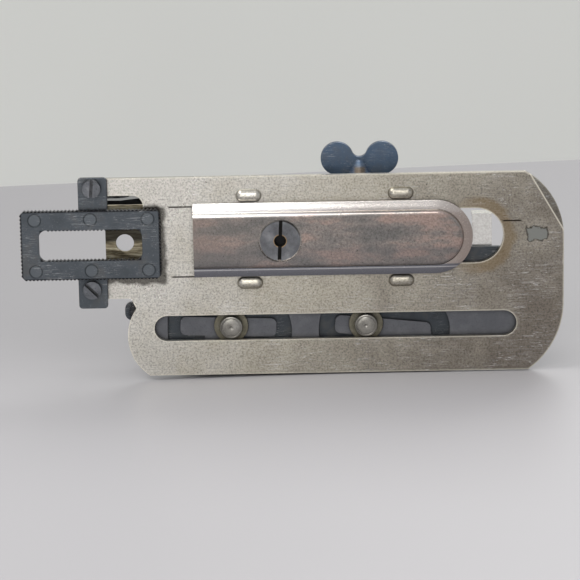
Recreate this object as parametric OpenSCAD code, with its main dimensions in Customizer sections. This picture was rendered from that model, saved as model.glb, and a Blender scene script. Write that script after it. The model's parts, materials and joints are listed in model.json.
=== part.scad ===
// Sewing-machine buttonhole attachment, standing on its long edge.
// +X runs along the attachment, -Y is its underside, +Y its top, +Z is up as it stands.
// The origin is the centre of the footprint, on the surface that it stands on.

/* [Base plate] */
// Length of the base plate to the right of the centre
plate_right = 76.9; // [76:0.1:78]
// Height of the base plate as it stands on edge
plate_h = 57.7; // [57:0.1:58]
// Thickness of the base plate
plate_t = 1.6; // [1.2:0.1:1.7]
// Left end of the two arms that carry the clamp
arm_left = -60; // [-60.5:0.1:-59]
// Height of the lower side of the mouth between the two arms
mouth_low = 29.3; // [29:0.1:29.6]
// Height of the upper side of the mouth between the two arms
mouth_high = 52.7; // [52.4:0.1:53]
// Right end of the mouth
mouth_right = -42; // [-43:0.1:-41]

/* [Guide slots] */
// Height of the centre line of the shoe and its slot
shoe_z = 39.5; // [39.3:0.1:39.8]
// Width of the shoe slot
shoe_slot_w = 15.8; // [15.6:0.1:16.2]
// Left end of the shoe slot
shoe_slot_left = -27; // [-27.5:0.1:-26.5]
// Right end of the shoe slot
shoe_slot_right = 59.8; // [59:0.1:61]
// Height of the centre line of the stud slot
stud_z = 13.8; // [13.6:0.1:14]
// Width of the stud slot
stud_slot_w = 7.4; // [7.1:0.1:7.6]
// Left end of the stud slot
stud_slot_left = -39.6; // [-40:0.1:-39]
// Right end of the stud slot
stud_slot_right = 63.5; // [63:0.1:64]

/* [Cloth clamp] */
// Height of the middle of the clamp and of its window
clamp_z = 39.2; // [39:0.1:39.6]
// Left edge of the toothed clamp
clamp_left = -76.7; // [-77:0.1:-76.4]
// Length of the toothed clamp
clamp_l = 39.7; // [39:0.1:40]
// Height of the toothed clamp
clamp_h = 20.3; // [20:0.1:21]
// Thickness of the toothed clamp
clamp_t = 1.7; // [1.4:0.1:2]
// Length of the sewing window
window_l = 29.1; // [28:0.1:29.5]
// Height of the sewing window
window_h = 9.1; // [8.5:0.1:9.5]
// Distance from tooth to tooth
tooth_pitch = 1.06; // [1:0.02:1.2]
// Depth of the teeth
tooth_depth = 0.42; // [0.3:0.02:0.5]
// Thickness of the ears behind the clamp
ear_t = 1.4; // [1.2:0.1:1.6]

/* [Slide shoe] */
// Left end of the shoe
shoe_left = -27.9; // [-28.2:0.1:-27.6]
// Right end of the shoe
shoe_right = 51.1; // [50.8:0.1:51.4]
// Height of the shoe across its flanges
shoe_h = 21.3; // [21:0.1:21.5]
// Width of the step round the raised middle
shoe_step = 2.6; // [2.2:0.1:3]
// Thickness of the flange
shoe_flange_t = 0.8; // [0.6:0.1:1]
// Thickness of the raised middle
shoe_t = 2.3; // [2:0.1:2.6]
// Place of the pivot screw along the shoe
pivot_x = -3.4; // [-4:0.1:-3]
// Diameter of the head of the pivot screw
pivot_head_d = 11.3; // [10.8:0.1:11.6]
// Diameter of the shank of the pivot screw
pivot_d = 6.9; // [6:0.1:7.4]

/* [Guide studs] */
// Place of the left guide stud
stud_x1 = -17.8; // [-18:0.05:-17.5]
// Place of the right guide stud
stud_x2 = 20.65; // [20.4:0.05:21]
// Diameter of the head of a guide stud
stud_d = 6.4; // [6.2:0.1:6.5]
// Diameter of the washer behind the base plate
stud_washer_d = 9.7; // [9:0.1:10]

/* [Cover] */
// Left side of the cover
cover_left = -30; // [-31:0.5:-29]
// Right side of the cover
cover_right = 46.5; // [46.3:0.1:46.8]
// Height of the cover as it stands on edge
cover_h = 51; // [51:0.1:51.5]
// Distance from the base plate's underside to the cover's top
cover_top = 18; // [17.5:0.1:18]
// Thickness of the cover's wall
cover_wall = 1.2; // [1:0.1:1.4]

/* [Feed wheel] */
// Place of the feed wheel along the attachment
wheel_x = 16; // [15.5:0.1:16.5]
// Height of the feed wheel's axis
wheel_z = 24; // [23.8:0.1:24]
// Radius over the ratchet teeth
wheel_r = 20; // [19.5:0.1:20]
// Number of ratchet teeth
wheel_teeth = 60; // [48:4:72]
// Radius of the knob on top of the wheel
knob_r = 8; // [7:0.5:9]

/* [Fork arm] */
// Place of the fork arm's pivot along the attachment
fork_x = 20; // [19:0.5:21]
// Distance of the fork arm's pivot from the base plate's underside
fork_y = 22.5; // [22.5:0.1:23]
// Left end of the fork
fork_left = -60; // [-62:0.5:-58]
// Gap between the prongs of the fork
fork_gap = 6.5; // [6:0.1:7]

/* [Wing screw] */
// Place of the wing screw along the attachment
wing_x = 19.6; // [19:0.1:20]
// Distance between the centres of the two wings
wing_spacing = 12.7; // [12.5:0.05:12.9]
// Radius of each wing
wing_r = 4.7; // [4.5:0.1:4.7]
// Height of the wing centres
wing_z = 59.8; // [59.5:0.1:60.2]

/* [Foot] */
// Left end of the foot's sole
sole_left = -53; // [-53.5:0.1:-52]
// Height of the foot's sole
sole_h = 19.2; // [18:0.1:19.6]
// Place of the needle hole
needle_x = -47.5; // [-48:0.1:-47]
// Height of the needle hole
needle_z = 38.1; // [38:0.1:39]
// Diameter of the needle hole
needle_d = 5.1; // [4.5:0.1:5.5]

/* [Hidden] */

// Smoothness of round parts
$fn = 64;
// Smoothness of rounded corners and of the corners of hulls
corner_fn = 32;
// Overlap that lets a cut run clear of the faces that it goes through
eps = 0.5;
// Radial clearance of a running fit
run_fit = 0.05;

// Levels along Y, measured from the underside of the base plate
clamp_y = -ear_t - clamp_t;
shoe_back = -0.3;
shoe_front = shoe_back - shoe_t;
frame_y = 2.0;
frame_t = 1.6;
stud_plate_y = frame_y + frame_t;
stud_plate_t = 1.2;
strap_y = stud_plate_y + 0.3;
strap_t = 1.2;
crank_y = stud_plate_y + stud_plate_t + 0.4;
crank_t = 1.2;
link_y = 2.5;
link_t = 0.8;
wheel_y = 9;
wheel_t = 3;
cam_t = 1.5;
knob_y = cover_top + 0.4;
knob_h = 7.4;
prong = 3;
back_y = fork_y + fork_gap / 2 + prong;
screw_head_h = 1.9;
front_y = -ear_t - screw_head_h;
// Shift that centres the attachment's depth on the origin
mid_y = (back_y + front_y) / 2;

// Heights
arm_low = 22.8;
frame_left = -40.3;
frame_low = 0.4;
frame_high = cover_h - 0.4;
wing_y = 13;
fork_z = 45.4;
fork_t = 2.4;

// Points along the arc from a to b that bulges to the right of the line by sag
function bulge(a, b, sag, steps) =
  let (
    half = norm(b - a) / 2,
    r = (half * half + sag * sag) / (2 * sag),
    along = (b - a) / (2 * half),
    out = [along[1], -along[0]],
    centre = (a + b) / 2 - out * (r - sag),
    spread = asin(half / r)
  )
  [for (i = [0 : steps])
    let (t = -spread + 2 * spread * i / steps)
    centre + r * (out * cos(t) + along * sin(t))];

// Points along part of a circle, from angle a0 to angle a1
function arc(centre, r, a0, a1, steps) =
  [for (i = [0 : steps])
    let (t = a0 + (a1 - a0) * i / steps)
    centre + r * [cos(t), sin(t)]];

// Points of a toothed straight edge from a to b, with the tooth tips to the right of the line
function toothed(a, b, pitch, depth) =
  let (
    n = round(norm(b - a) / pitch),
    along = (b - a) / n,
    out = [along[1], -along[0]] / norm(along)
  )
  [for (i = [0 : n - 1]) for (k = [0, 1])
    a + along * (i + k / 2) + out * depth * k];

// Points of a ring of teeth: each tooth has a root at a fraction of its pitch and a tip
function ring_teeth(n, root_r, tip_r, lean) =
  [for (i = [0 : n - 1]) for (k = [0, 1])
    let (t = 360 * (i + k * lean) / n)
    (k == 0 ? root_r : tip_r) * [cos(t), sin(t)]];

// Extrudes a drawing of X and Z from y0 to y0 + t
module plate(y0, t) {
  translate([0, y0 + t, 0])
    rotate([90, 0, 0])
      linear_extrude(t)
        children();
}

// Round bar along Y
module bar_y(x, z, y0, y1, d) {
  translate([x, y1, z])
    rotate([90, 0, 0])
      cylinder(d = d, h = y1 - y0);
}

// Round bar along Z
module bar_z(x, y, z0, z1, d) {
  translate([x, y, z0])
    cylinder(d = d, h = z1 - z0);
}

// Drawing of a slot with round ends
module slot(left, right, z, w) {
  translate([left + w / 2, z])
    circle(d = w);
  translate([right - w / 2, z])
    circle(d = w);
  translate([left + w / 2, z - w / 2])
    square([right - left - w, w]);
}

// Drawing of a rectangle with round corners
module round_rect(left, low, right, high, r) {
  translate([left + r, low])
    square([right - left - 2 * r, high - low]);
  translate([left, low + r])
    square([right - left, high - low - 2 * r]);
  for (x = [left + r, right - r])
    for (z = [low + r, high - r])
      translate([x, z])
        circle(r = r, $fn = corner_fn);
}

// Drawing of an eye-ended strip from one point to another
module strip(a, b, w) {
  turn = atan2(b[1] - a[1], b[0] - a[0]);
  translate(a)
    rotate(turn) {
      circle(d = w);
      translate([norm(b - a), 0])
        circle(d = w);
      translate([0, -w / 2])
        square([norm(b - a), w]);
    }
}

// Slotted cheese-head screw along Y, with its head towards -Y
module screw_front(x, z, head_y, head_h, head_d, d, end_y, turn) {
  slot_w = head_d * 0.17;
  difference() {
    union() {
      bar_y(x, z, head_y, head_y + head_h, head_d);
      bar_y(x, z, head_y, end_y, d);
    }
    translate([x, head_y, z])
      rotate([0, turn, 0])
        cube([slot_w, head_h, head_d + eps], center = true);
  }
}

// Slotted cheese-head screw along Y, with its head towards +Y
module screw_back(x, z, head_y, head_h, head_d, d, end_y, turn) {
  slot_w = head_d * 0.17;
  difference() {
    union() {
      bar_y(x, z, head_y, head_y + head_h, head_d);
      bar_y(x, z, end_y, head_y + head_h, d);
    }
    translate([x, head_y + head_h, z])
      rotate([0, turn, 0])
        cube([slot_w, head_h, head_d + eps], center = true);
  }
}

// Moves a piece so that the attachment's depth is centred on the origin
module placed() {
  translate([0, -mid_y, 0])
    children();
}

// ---- Work carrier ----

ear_l = 8.2;
ear_left = [-60.7, -60.1];
ear_screws = [[-56.8, 26.1, -45], [-56.2, 55.4, 4]];
ear_screw_d = 3;
follower_x = 28;
follower_z = 29.5;
follower_d = 3;
follower_seat = 0.9;
lug_x = [-12.1, 30.8];
lug_l = 7.4;
lug_w = 3.6;

module plate_outline() {
  low_left = [-41.2, 0];
  low_right = [66.9, 0];
  side_low = [plate_right, 19];
  side_high = [plate_right, 39];
  top_right = [66, plate_h];
  notch = [-44.6, 19.8];
  polygon(concat(
    [low_left],
    bulge(low_right, side_low, 2.5, 12),
    bulge(side_high, top_right, 2.9, 16),
    [[arm_left, plate_h], [arm_left, arm_low], [-46, arm_low]],
    bulge(notch, low_left, 4.2, 14)
  ));
}

// Capsule pressed out of the plate beside the shoe
module lug(x, side) {
  intersection() {
    translate([x, 0.3, shoe_z + side * (shoe_h / 2 + 0.2 + lug_w / 2)])
      union() {
        translate([lug_w / 2 - lug_l / 2, 0, 0])
          sphere(d = lug_w, $fn = corner_fn);
        translate([lug_l / 2 - lug_w / 2, 0, 0])
          sphere(d = lug_w, $fn = corner_fn);
        rotate([0, 90, 0])
          cylinder(d = lug_w, h = lug_l - lug_w, center = true, $fn = corner_fn);
      }
    translate([x - lug_l, -lug_w, 0])
      cube([2 * lug_l, lug_w + 0.8, plate_h]);
  }
}

module base_plate() {
  color("#C0BAA8")
    placed() {
      difference() {
        plate(0, plate_t)
          difference() {
            plate_outline();
            round_rect(arm_left - 10, mouth_low, mouth_right, mouth_high, 3);
            slot(shoe_slot_left, shoe_slot_right, shoe_z, shoe_slot_w);
            slot(stud_slot_left, stud_slot_right, stud_z, stud_slot_w);
          }
        for (at = ear_screws)
          bar_y(at[0], at[1], -eps, plate_t + eps, ear_screw_d);
        bar_y(follower_x, follower_z, follower_seat, plate_t + eps, follower_d);
      }
      for (x = lug_x)
        for (side = [-1, 1])
          lug(x, side);
    }
}

// One ear lies on each arm and reaches behind the clamp
module ear(left, low, high, screw) {
  difference() {
    plate(-ear_t, ear_t)
      round_rect(left, low, left + ear_l, high, 1);
    bar_y(screw[0], screw[1], -ear_t - eps, eps, ear_screw_d);
  }
}

module clamp_ears() {
  color("#4C5763")
    placed() {
      ear(ear_left[0], 20.4, clamp_z - window_h / 2 - 0.6, ear_screws[0]);
      ear(ear_left[1], clamp_z + window_h / 2 + 0.6, 58.2, ear_screws[1]);
    }
}

module cloth_clamp() {
  corner = 0.9;
  right = clamp_left + clamp_l;
  low = clamp_z - clamp_h / 2;
  high = clamp_z + clamp_h / 2;
  w_left = clamp_left + (clamp_l - window_l) / 2;
  w_right = w_left + window_l;
  w_low = clamp_z - window_h / 2;
  w_high = clamp_z + window_h / 2;
  mark_d = 3.6;
  mark_depth = 0.12;
  step = tooth_depth;
  round_r = 2.2;
  color("#4A5058")
    placed()
      difference() {
        plate(clamp_y, clamp_t)
          difference() {
            polygon(concat(
              toothed([clamp_left + corner, low + step], [right - corner, low + step], tooth_pitch, step),
              toothed([right - step, low + corner], [right - step, high - corner], tooth_pitch, step),
              toothed([right - corner, high - step], [clamp_left + corner, high - step], tooth_pitch, step),
              toothed([clamp_left + step, high - corner], [clamp_left + step, low + corner],
                tooth_pitch, step)
            ));
            polygon(concat(
              toothed([w_left + round_r, w_high], [w_right - round_r, w_high], tooth_pitch, step),
              arc([w_right - round_r, w_high - round_r], round_r, 90, 0, 6),
              arc([w_right - round_r, w_low + round_r], round_r, 0, -90, 6),
              toothed([w_right - round_r, w_low], [w_left + round_r, w_low], tooth_pitch, step),
              arc([w_left + round_r, w_low + round_r], round_r, -90, -180, 6),
              arc([w_left + round_r, w_high - round_r], round_r, 180, 90, 6)
            ));
          }
        for (x = [-72.5, -56.8, -40.6])
          for (side = [-1, 1])
            bar_y(x, clamp_z + side * 7.4, clamp_y - eps, clamp_y + mark_depth, mark_d);
      }
}

module clamp_screws() {
  head_h = screw_head_h;
  head_d = 5.1;
  head_y = -ear_t - head_h;
  end_y = plate_t + 0.4;
  color("#5A636D")
    placed() {
      for (at = ear_screws)
        screw_front(at[0], at[1], head_y, head_h, head_d, ear_screw_d, end_y, at[2]);
    }
}

follower_end = wheel_y - cam_t - 0.3;

module follower_post() {
  color("#9A9A96")
    placed() {
      bar_y(follower_x, follower_z, follower_seat, follower_end - 0.4, follower_d);
      bar_y(follower_x, follower_z, follower_end - 0.4, follower_end, 4);
      bar_y(follower_x, follower_z, plate_t, frame_y - 0.15, 4.4);
    }
}

module follower_roller() {
  color("#8E8F92")
    placed()
      difference() {
        bar_y(follower_x, follower_z, follower_end - 1.9, follower_end - 0.5, 5);
        bar_y(follower_x, follower_z, 0, follower_end, follower_d + 0.1);
      }
}

// ---- Frame ----

length_slot_left = -8;
length_slot_right = 38;
boss_r = 7.6;
stud_plate_low = 9;
stud_plate_high = 20.8;
foot_screw = [3.5, 5.2];
foot_boss_r = 2.2;
top_screw_z = cover_h - 4.4;
cover_screws_at = [foot_screw, [cover_left + 4.6, top_screw_z], [cover_right - 4.6, top_screw_z]];
bracket_x = 53.9;
bracket_w = 5.6;
bracket_screw_z = [19, 30.5];
bracket_screw_d = 2.4;
pawl_post_x = 29.3;
pawl_post_z = 43.7;
pawl_post_d = 3;
bight_x = -22.5;
bight_z = 26.5;
space_x = 40.5;
space_z = 27;
shaft_d = 4;
adjust_x = -42.9;
adjust_z = 18;
adjust_r = 4;
link_window_low = 3.4;
link_window_high = 20.4;

// Window of the frame plate, with ends that curve outwards by the given sags
module link_window(left, left_sag, right, right_sag) {
  polygon(concat(
    bulge([right - right_sag, link_window_low], [right - right_sag, link_window_high], right_sag, 12),
    bulge([left + left_sag, link_window_high], [left + left_sag, link_window_low], left_sag, 12)
  ));
}

module frame_plate() {
  step_x = 66;
  step_z = 26;
  color("#6C6E73")
    placed()
      difference() {
        plate(frame_y, frame_t)
          difference() {
            union() {
              round_rect(frame_left, frame_low, cover_right, frame_high, 3);
              round_rect(frame_left, 4, step_x, step_z, 3);
            }
            link_window(-35.9, 0.3, -0.5, 2.6);
            link_window(7.2, 2, 44.6, 4.2);
            translate([adjust_x, adjust_z])
              circle(r = adjust_r + 0.5);
            slot(follower_x - 15.6 - 2, follower_x + 6.8 + 2, follower_z, follower_d + 1);
          }
        bar_y(pivot_x, shoe_z, 0, 10, pivot_d);
        bar_y(wheel_x, wheel_z, 0, 10, 5 + 2 * run_fit);
        bar_y(bracket_x, bracket_screw_z[0], 0, 10, bracket_screw_d);
        bar_y(pawl_post_x, pawl_post_z, 0, 10, pawl_post_d);
        for (at = cover_screws_at)
          bar_y(at[0], at[1], 0, 10, 2.2);
      }
}

module stud_plate() {
  color("#44464E")
    placed()
      difference() {
        plate(stud_plate_y, stud_plate_t)
          difference() {
            union() {
              round_rect(-38, stud_plate_low, cover_right - cover_wall - 0.2, stud_plate_high, 2);
              round_rect(-48, 15.5, cover_left + 5, stud_plate_high, 2);
            }
          }
        for (x = [stud_x1, stud_x2])
          bar_y(x, stud_z, 0, 10, 3.4);
        bar_y(adjust_x, adjust_z, 0, 10, 2);
      }
}

module cover_body() {
  round_r = 3;
  side_r = 5;
  hull() {
    for (x = [cover_left + side_r, cover_right - side_r])
      for (z = [side_r, cover_h - side_r]) {
        bar_y(x, z, stud_plate_y, cover_top - round_r, 2 * side_r, $fn = corner_fn);
        translate([x, cover_top - round_r, z])
          rotate([90, 0, 0])
            rotate_extrude($fn = corner_fn)
              intersection() {
                union() {
                  translate([side_r - round_r, 0])
                    circle(r = round_r, $fn = corner_fn);
                  translate([0, -round_r])
                    square([side_r - round_r, 2 * round_r]);
                }
                translate([0, -round_r])
                  square([side_r, 2 * round_r]);
              }
      }
  }
}

module cover() {
  leg_l = 15;
  shoe_gate_h = 18.5;
  boss_y = crank_y + crank_t + 1;
  inner_h = cover_h - 2 * cover_wall;
  inner_l = cover_right - cover_left - 2 * cover_wall;
  color("#1C1D20")
    placed()
      difference() {
        cover_body();
        translate([cover_left + cover_wall, stud_plate_y - eps, cover_wall])
          difference() {
            cube([inner_l, cover_top - cover_wall - stud_plate_y + eps, inner_h]);
            for (x = [0, inner_l])
              translate([x, boss_y - stud_plate_y, inner_h])
                rotate([-90, 0, 0])
                  cylinder(r = boss_r, h = cover_top);
            translate([
              foot_screw[0] - cover_left - cover_wall, boss_y - stud_plate_y, foot_screw[1] - cover_wall
            ])
              rotate([-90, 0, 0])
                cylinder(r = foot_boss_r, h = cover_top);
          }
        translate([cover_left - eps, stud_plate_y - eps, shoe_z - shoe_gate_h / 2])
          cube([10, strap_t + 1.4, shoe_gate_h]);
        translate([cover_left - eps, stud_plate_y - eps, stud_plate_low - 0.2])
          cube([5, stud_plate_t + eps, stud_plate_high - stud_plate_low + 0.4]);
        translate([fork_x - leg_l / 2 - 1, cover_top - 4, fork_z - 0.5])
          cube([leg_l, 8, fork_t + 1]);
        translate([length_slot_left, wing_y - 2.1, cover_h - 3])
          cube([length_slot_right - length_slot_left, 4.2, 6]);
        bar_y(wheel_x, wheel_z, 10, 30, 8);
        bar_y(bight_x, bight_z, 10, 30, shaft_d + 2 * run_fit);
        bar_y(space_x, space_z, 10, 30, shaft_d + 2 * run_fit);
        for (at = cover_screws_at) {
          bar_y(at[0], at[1], 0, 30, 2.2);
          bar_y(at[0], at[1], cover_top - 1, 30, 5.4);
        }
      }
}

module cover_screws() {
  color("#B9B9B4")
    placed()
      for (at = cover_screws_at)
        screw_back(at[0], at[1], cover_top - 1, 1.7, 5, 2.2, frame_y + 0.1, 13 * at[0] + 7 * at[1]);
}

module guide_studs() {
  front = -0.5;
  color("#8A857E")
    placed()
      for (x = [stud_x1, stud_x2])
        difference() {
          union() {
            bar_y(x, stud_z, front, plate_t + 0.15, stud_d);
            bar_y(x, stud_z, plate_t, stud_plate_y + stud_plate_t, 3.4);
          }
          plate(front - eps, eps + 0.2)
            translate([x, stud_z])
              difference() {
                circle(d = 5.2);
                circle(d = 4.7);
              }
          bar_y(x, stud_z, front - eps, front + 0.3, 1);
        }
}

module stud_washers() {
  color("#77787A")
    placed()
      for (x = [stud_x1, stud_x2])
        difference() {
          bar_y(x, stud_z, plate_t + 0.15, frame_y + 0.2, stud_washer_d);
          bar_y(x, stud_z, 0, 10, 3.4);
        }
}

module slide_block() {
  left = -19.4;
  right = 42;
  color("#8B8D90")
    placed()
      difference() {
        plate(shoe_back, frame_y - shoe_back)
          slot(left, right, shoe_z, shoe_slot_w - 0.3);
        bar_y(pivot_x, shoe_z, -5, 10, pivot_d);
      }
}

// Drawing of the shoe: square at its left end and round at its right end
module shoe_outline(inset) {
  r = shoe_h / 2 - inset;
  translate([shoe_right - inset - r, shoe_z])
    circle(r = r);
  translate([shoe_left, shoe_z - r])
    square([shoe_right - inset - r - shoe_left, 2 * r]);
}

module slide_shoe() {
  seat_y = shoe_front + 1.5;
  color("#B8B8BA")
    placed()
      difference() {
        union() {
          plate(shoe_back - shoe_flange_t, shoe_flange_t)
            shoe_outline(0);
          plate(shoe_front + 0.5, shoe_t - 0.5)
            shoe_outline(shoe_step);
          plate(shoe_front, shoe_t)
            shoe_outline(shoe_step + 0.5);
        }
        bar_y(pivot_x, shoe_z, shoe_front - eps, seat_y, pivot_head_d + 1);
        bar_y(pivot_x, shoe_z, shoe_front, eps, pivot_d);
      }
}

module pivot_screw() {
  head_y = shoe_front - 0.4;
  seat_y = shoe_front + 1.5;
  slot_w = 1;
  color("#5F6063")
    placed()
      difference() {
        union() {
          bar_y(pivot_x, shoe_z, head_y, seat_y, pivot_head_d);
          bar_y(pivot_x, shoe_z, head_y, strap_y + strap_t + 3, pivot_d);
        }
        translate([pivot_x, head_y, shoe_z])
          rotate([0, 3, 0])
            cube([slot_w, 2, pivot_head_d + eps], center = true);
        bar_y(pivot_x, shoe_z, head_y - eps, head_y + 2.5, 3.4);
      }
}

module pivot_washer() {
  color("#8E8F92")
    placed()
      difference() {
        bar_y(pivot_x, shoe_z, strap_y + strap_t + 0.1, strap_y + strap_t + 0.7, 12);
        bar_y(pivot_x, shoe_z, 0, 10, pivot_d);
      }
}

module pivot_nut() {
  y0 = strap_y + strap_t + 0.7;
  color("#5F6063")
    placed()
      difference() {
        plate(y0, 2.2)
          translate([pivot_x, shoe_z])
            circle(d = 12.4, $fn = 6);
        bar_y(pivot_x, shoe_z, 0, 10, pivot_d);
      }
}

fork_lug_t = 2;

module fork_bracket() {
  left = fork_x - 12;
  right = fork_x + 12;
  low = fork_z - 0.6 - fork_lug_t;
  high = fork_z + fork_t + 0.6 + fork_lug_t;
  color("#A9A79F")
    placed()
      difference() {
        union() {
          translate([left, cover_top, low - 2])
            cube([right - left, 1, high - low + 2]);
          for (z = [low, high - fork_lug_t])
            translate([fork_x, fork_y, z]) {
              cylinder(d = 6.4, h = fork_lug_t);
              translate([-3.2, cover_top - fork_y, 0])
                cube([6.4, fork_y - cover_top, fork_lug_t]);
            }
        }
        translate([fork_x - 8.5, cover_top - eps, fork_z - 0.6])
          cube([15, 2, fork_t + 1.2]);
        bar_z(fork_x, fork_y, low - eps, high + eps, 3);
      }
}

module fork_pin() {
  low = fork_z - 0.6 - fork_lug_t;
  high = fork_z + fork_t + 0.6 + fork_lug_t;
  color("#8F9194")
    placed() {
      bar_z(fork_x, fork_y, low, high, 3);
      bar_z(fork_x, fork_y, low - 0.9, low, 5);
    }
}

module wheel_bush() {
  color("#B08D57")
    placed()
      difference() {
        union() {
          bar_y(wheel_x, wheel_z, cover_top - 3.5, cover_top, 8);
          bar_y(wheel_x, wheel_z, cover_top - 3.5, cover_top - 2.6 + 1.4, 10);
        }
        bar_y(wheel_x, wheel_z, 0, 30, 5 + 2 * run_fit);
      }
}

// Scale plate with a fan of ticks that point at the lever's shaft
module lever_scale(x, z, aim) {
  ticks = 7;
  r_in = 17.6;
  r_out = 21.4;
  spread = 13;
  half = spread + 7;
  difference() {
    plate(cover_top, 0.5)
      intersection() {
        translate([x, z])
          difference() {
            circle(r = r_out);
            circle(r = r_in);
          }
        translate([x, z])
          rotate(aim)
            polygon([[0, 0], 40 * [cos(half), -sin(half)], 40 * [cos(half), sin(half)]]);
      }
    for (i = [0 : ticks - 1])
      translate([x, cover_top + 0.5, z])
        rotate([0, -aim - spread + 2 * spread * i / (ticks - 1), 0])
          translate([r_in + 1.2 + (i % 3 == 0 ? 0 : 0.9), -0.2, -0.15])
            cube([3, 1, 0.3]);
    for (side = [-1, 1])
      bar_y(x + (r_in + r_out) / 2 * cos(aim + side * (spread + 4)),
        z + (r_in + r_out) / 2 * sin(aim + side * (spread + 4)), 0, 30, 1);
  }
}

bight_aim = -76;
space_aim = -104;

module bight_scale() {
  color("#C8C6BE")
    placed()
      lever_scale(bight_x, bight_z, bight_aim);
}

module space_scale() {
  color("#C8C6BE")
    placed()
      lever_scale(space_x, space_z, space_aim);
}

length_scale_left = -10;
length_scale_right = 40;

module length_scale() {
  top = cover_h + 0.25;
  ticks = 15;
  pitch = 3;
  color("#C8C6BE")
    placed()
      difference() {
        translate([length_scale_left, 5, cover_h])
          cube([length_scale_right - length_scale_left, 3.4, 0.25]);
        for (i = [0 : ticks - 1])
          translate([length_scale_left + 4 + pitch * i, i % 5 == 0 ? 5.8 : 6.8, top - 0.12])
            cube([0.3, 3, 1]);
      }
}

module scale_pins() {
  r_pin = 19.5;
  color("#B9B9B4")
    placed()
      for (side = [-17, 17]) {
        bar_y(bight_x + r_pin * cos(bight_aim + side), bight_z + r_pin * sin(bight_aim + side),
          cover_top, cover_top + 0.8, 1);
        bar_y(space_x + r_pin * cos(space_aim + side), space_z + r_pin * sin(space_aim + side),
          cover_top, cover_top + 0.8, 1);
      }
}

module rear_bracket() {
  low = 14;
  high = 45.1;
  top_l = 5;
  color("#C9C9C4")
    placed()
      difference() {
        union() {
          plate(stud_plate_y, 1)
            round_rect(bracket_x - bracket_w / 2, low, bracket_x + bracket_w / 2, high, 1.2);
          translate([bracket_x - bracket_w / 2, stud_plate_y, high - 1.2])
            cube([bracket_w, top_l, 1]);
        }
        for (z = bracket_screw_z)
          bar_y(bracket_x, z, 0, 10, bracket_screw_d);
      }
}

module retainer_plate() {
  color("#2E3036")
    placed()
      difference() {
        plate(frame_y, frame_t)
          round_rect(cover_right + 0.05, 26.2, 60, 35.7, 1.5);
        bar_y(bracket_x, bracket_screw_z[1], 0, 10, bracket_screw_d);
      }
}

module bracket_screws() {
  color("#8F9194")
    placed()
      for (z = bracket_screw_z)
        screw_back(bracket_x, z, stud_plate_y + 1, 1.4, 4.2, bracket_screw_d, frame_y + 0.1, 30 + z);
}

module pawl_post() {
  color("#8F9194")
    placed() {
      bar_y(pawl_post_x, pawl_post_z, frame_y + 0.1, wheel_y + wheel_t + 0.2, pawl_post_d);
      bar_y(pawl_post_x, pawl_post_z, stud_plate_y, wheel_y, 5);
      bar_y(pawl_post_x, pawl_post_z, wheel_y + wheel_t + 0.2, wheel_y + wheel_t + 1.1, 5);
    }
}

module pawl_spring() {
  color("#5A6A86")
    placed()
      plate(wheel_y + 0.6, 1.8)
        difference() {
          translate([pawl_post_x + 6.2, pawl_post_z - 1.6])
            rotate(-8)
              square([0.4, 9]);
          translate([0, cover_h - cover_wall])
            square([100, 10]);
        }
}

module holding_pawl() {
  at = 20;
  tip = [wheel_x, wheel_z] + (wheel_r + 0.15) * [cos(at), sin(at)];
  heel = [pawl_post_x, pawl_post_z];
  color("#7B7E84")
    placed()
      difference() {
        plate(wheel_y + 0.3, wheel_t - 0.6)
          union() {
            translate(heel)
              circle(d = 6);
            polygon([
              heel + [-1.6, -2.4],
              heel + [2.9, -0.6],
              tip + [2, 1],
              tip + [0.2, 0],
              tip + [0.2, 1.6],
            ]);
          }
        bar_y(pawl_post_x, pawl_post_z, 0, 20, pawl_post_d + 2 * run_fit);
      }
}

// ---- Feed wheel ----

module ratchet_wheel() {
  holes = 5;
  color("#85868A")
    placed()
      difference() {
        plate(wheel_y, wheel_t)
          translate([wheel_x, wheel_z])
            polygon(ring_teeth(wheel_teeth, wheel_r - 0.9, wheel_r, 0.85));
        bar_y(wheel_x, wheel_z, 0, 20, 5);
        for (i = [0 : holes - 1])
          bar_y(wheel_x + 13 * cos(72 * i + 20), wheel_z + 13 * sin(72 * i + 20), 0, 20, 4.6);
      }
}

module cam_plate() {
  color("#6E6F73")
    placed()
      difference() {
        plate(wheel_y - cam_t, cam_t)
          translate([wheel_x, wheel_z])
            union() {
              slot(-14, 14, 0, 11);
              circle(d = 15);
            }
        bar_y(wheel_x, wheel_z, 0, 20, 5);
      }
}

module wheel_spindle() {
  color("#A5A6A8")
    placed()
      bar_y(wheel_x, wheel_z, frame_y + 0.1, knob_y + knob_h - 2, 5);
}

module wheel_knob() {
  ridges = 40;
  color("#26272A")
    placed()
      difference() {
        union() {
          plate(knob_y + 1, knob_h - 2)
            translate([wheel_x, wheel_z])
              polygon(ring_teeth(ridges, knob_r - 0.4, knob_r, 0.5));
          bar_y(wheel_x, wheel_z, knob_y, knob_y + 1, 2 * knob_r - 2);
          bar_y(wheel_x, wheel_z, knob_y + 1, knob_y + knob_h, 2 * knob_r - 1.6);
        }
        bar_y(wheel_x, wheel_z, 0, knob_y + knob_h - 2, 5);
        bar_y(wheel_x, wheel_z, 0, 40, 3);
      }
}

module knob_screw() {
  color("#B9B9B4")
    placed()
      screw_back(wheel_x, wheel_z, knob_y + knob_h, 0.6, 6, 3, knob_y + knob_h - 2, 20);
}

// ---- Fork arm ----

fork_leg_x = fork_x + 3;
fork_leg_end = wheel_y + wheel_t + 0.5;

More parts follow.
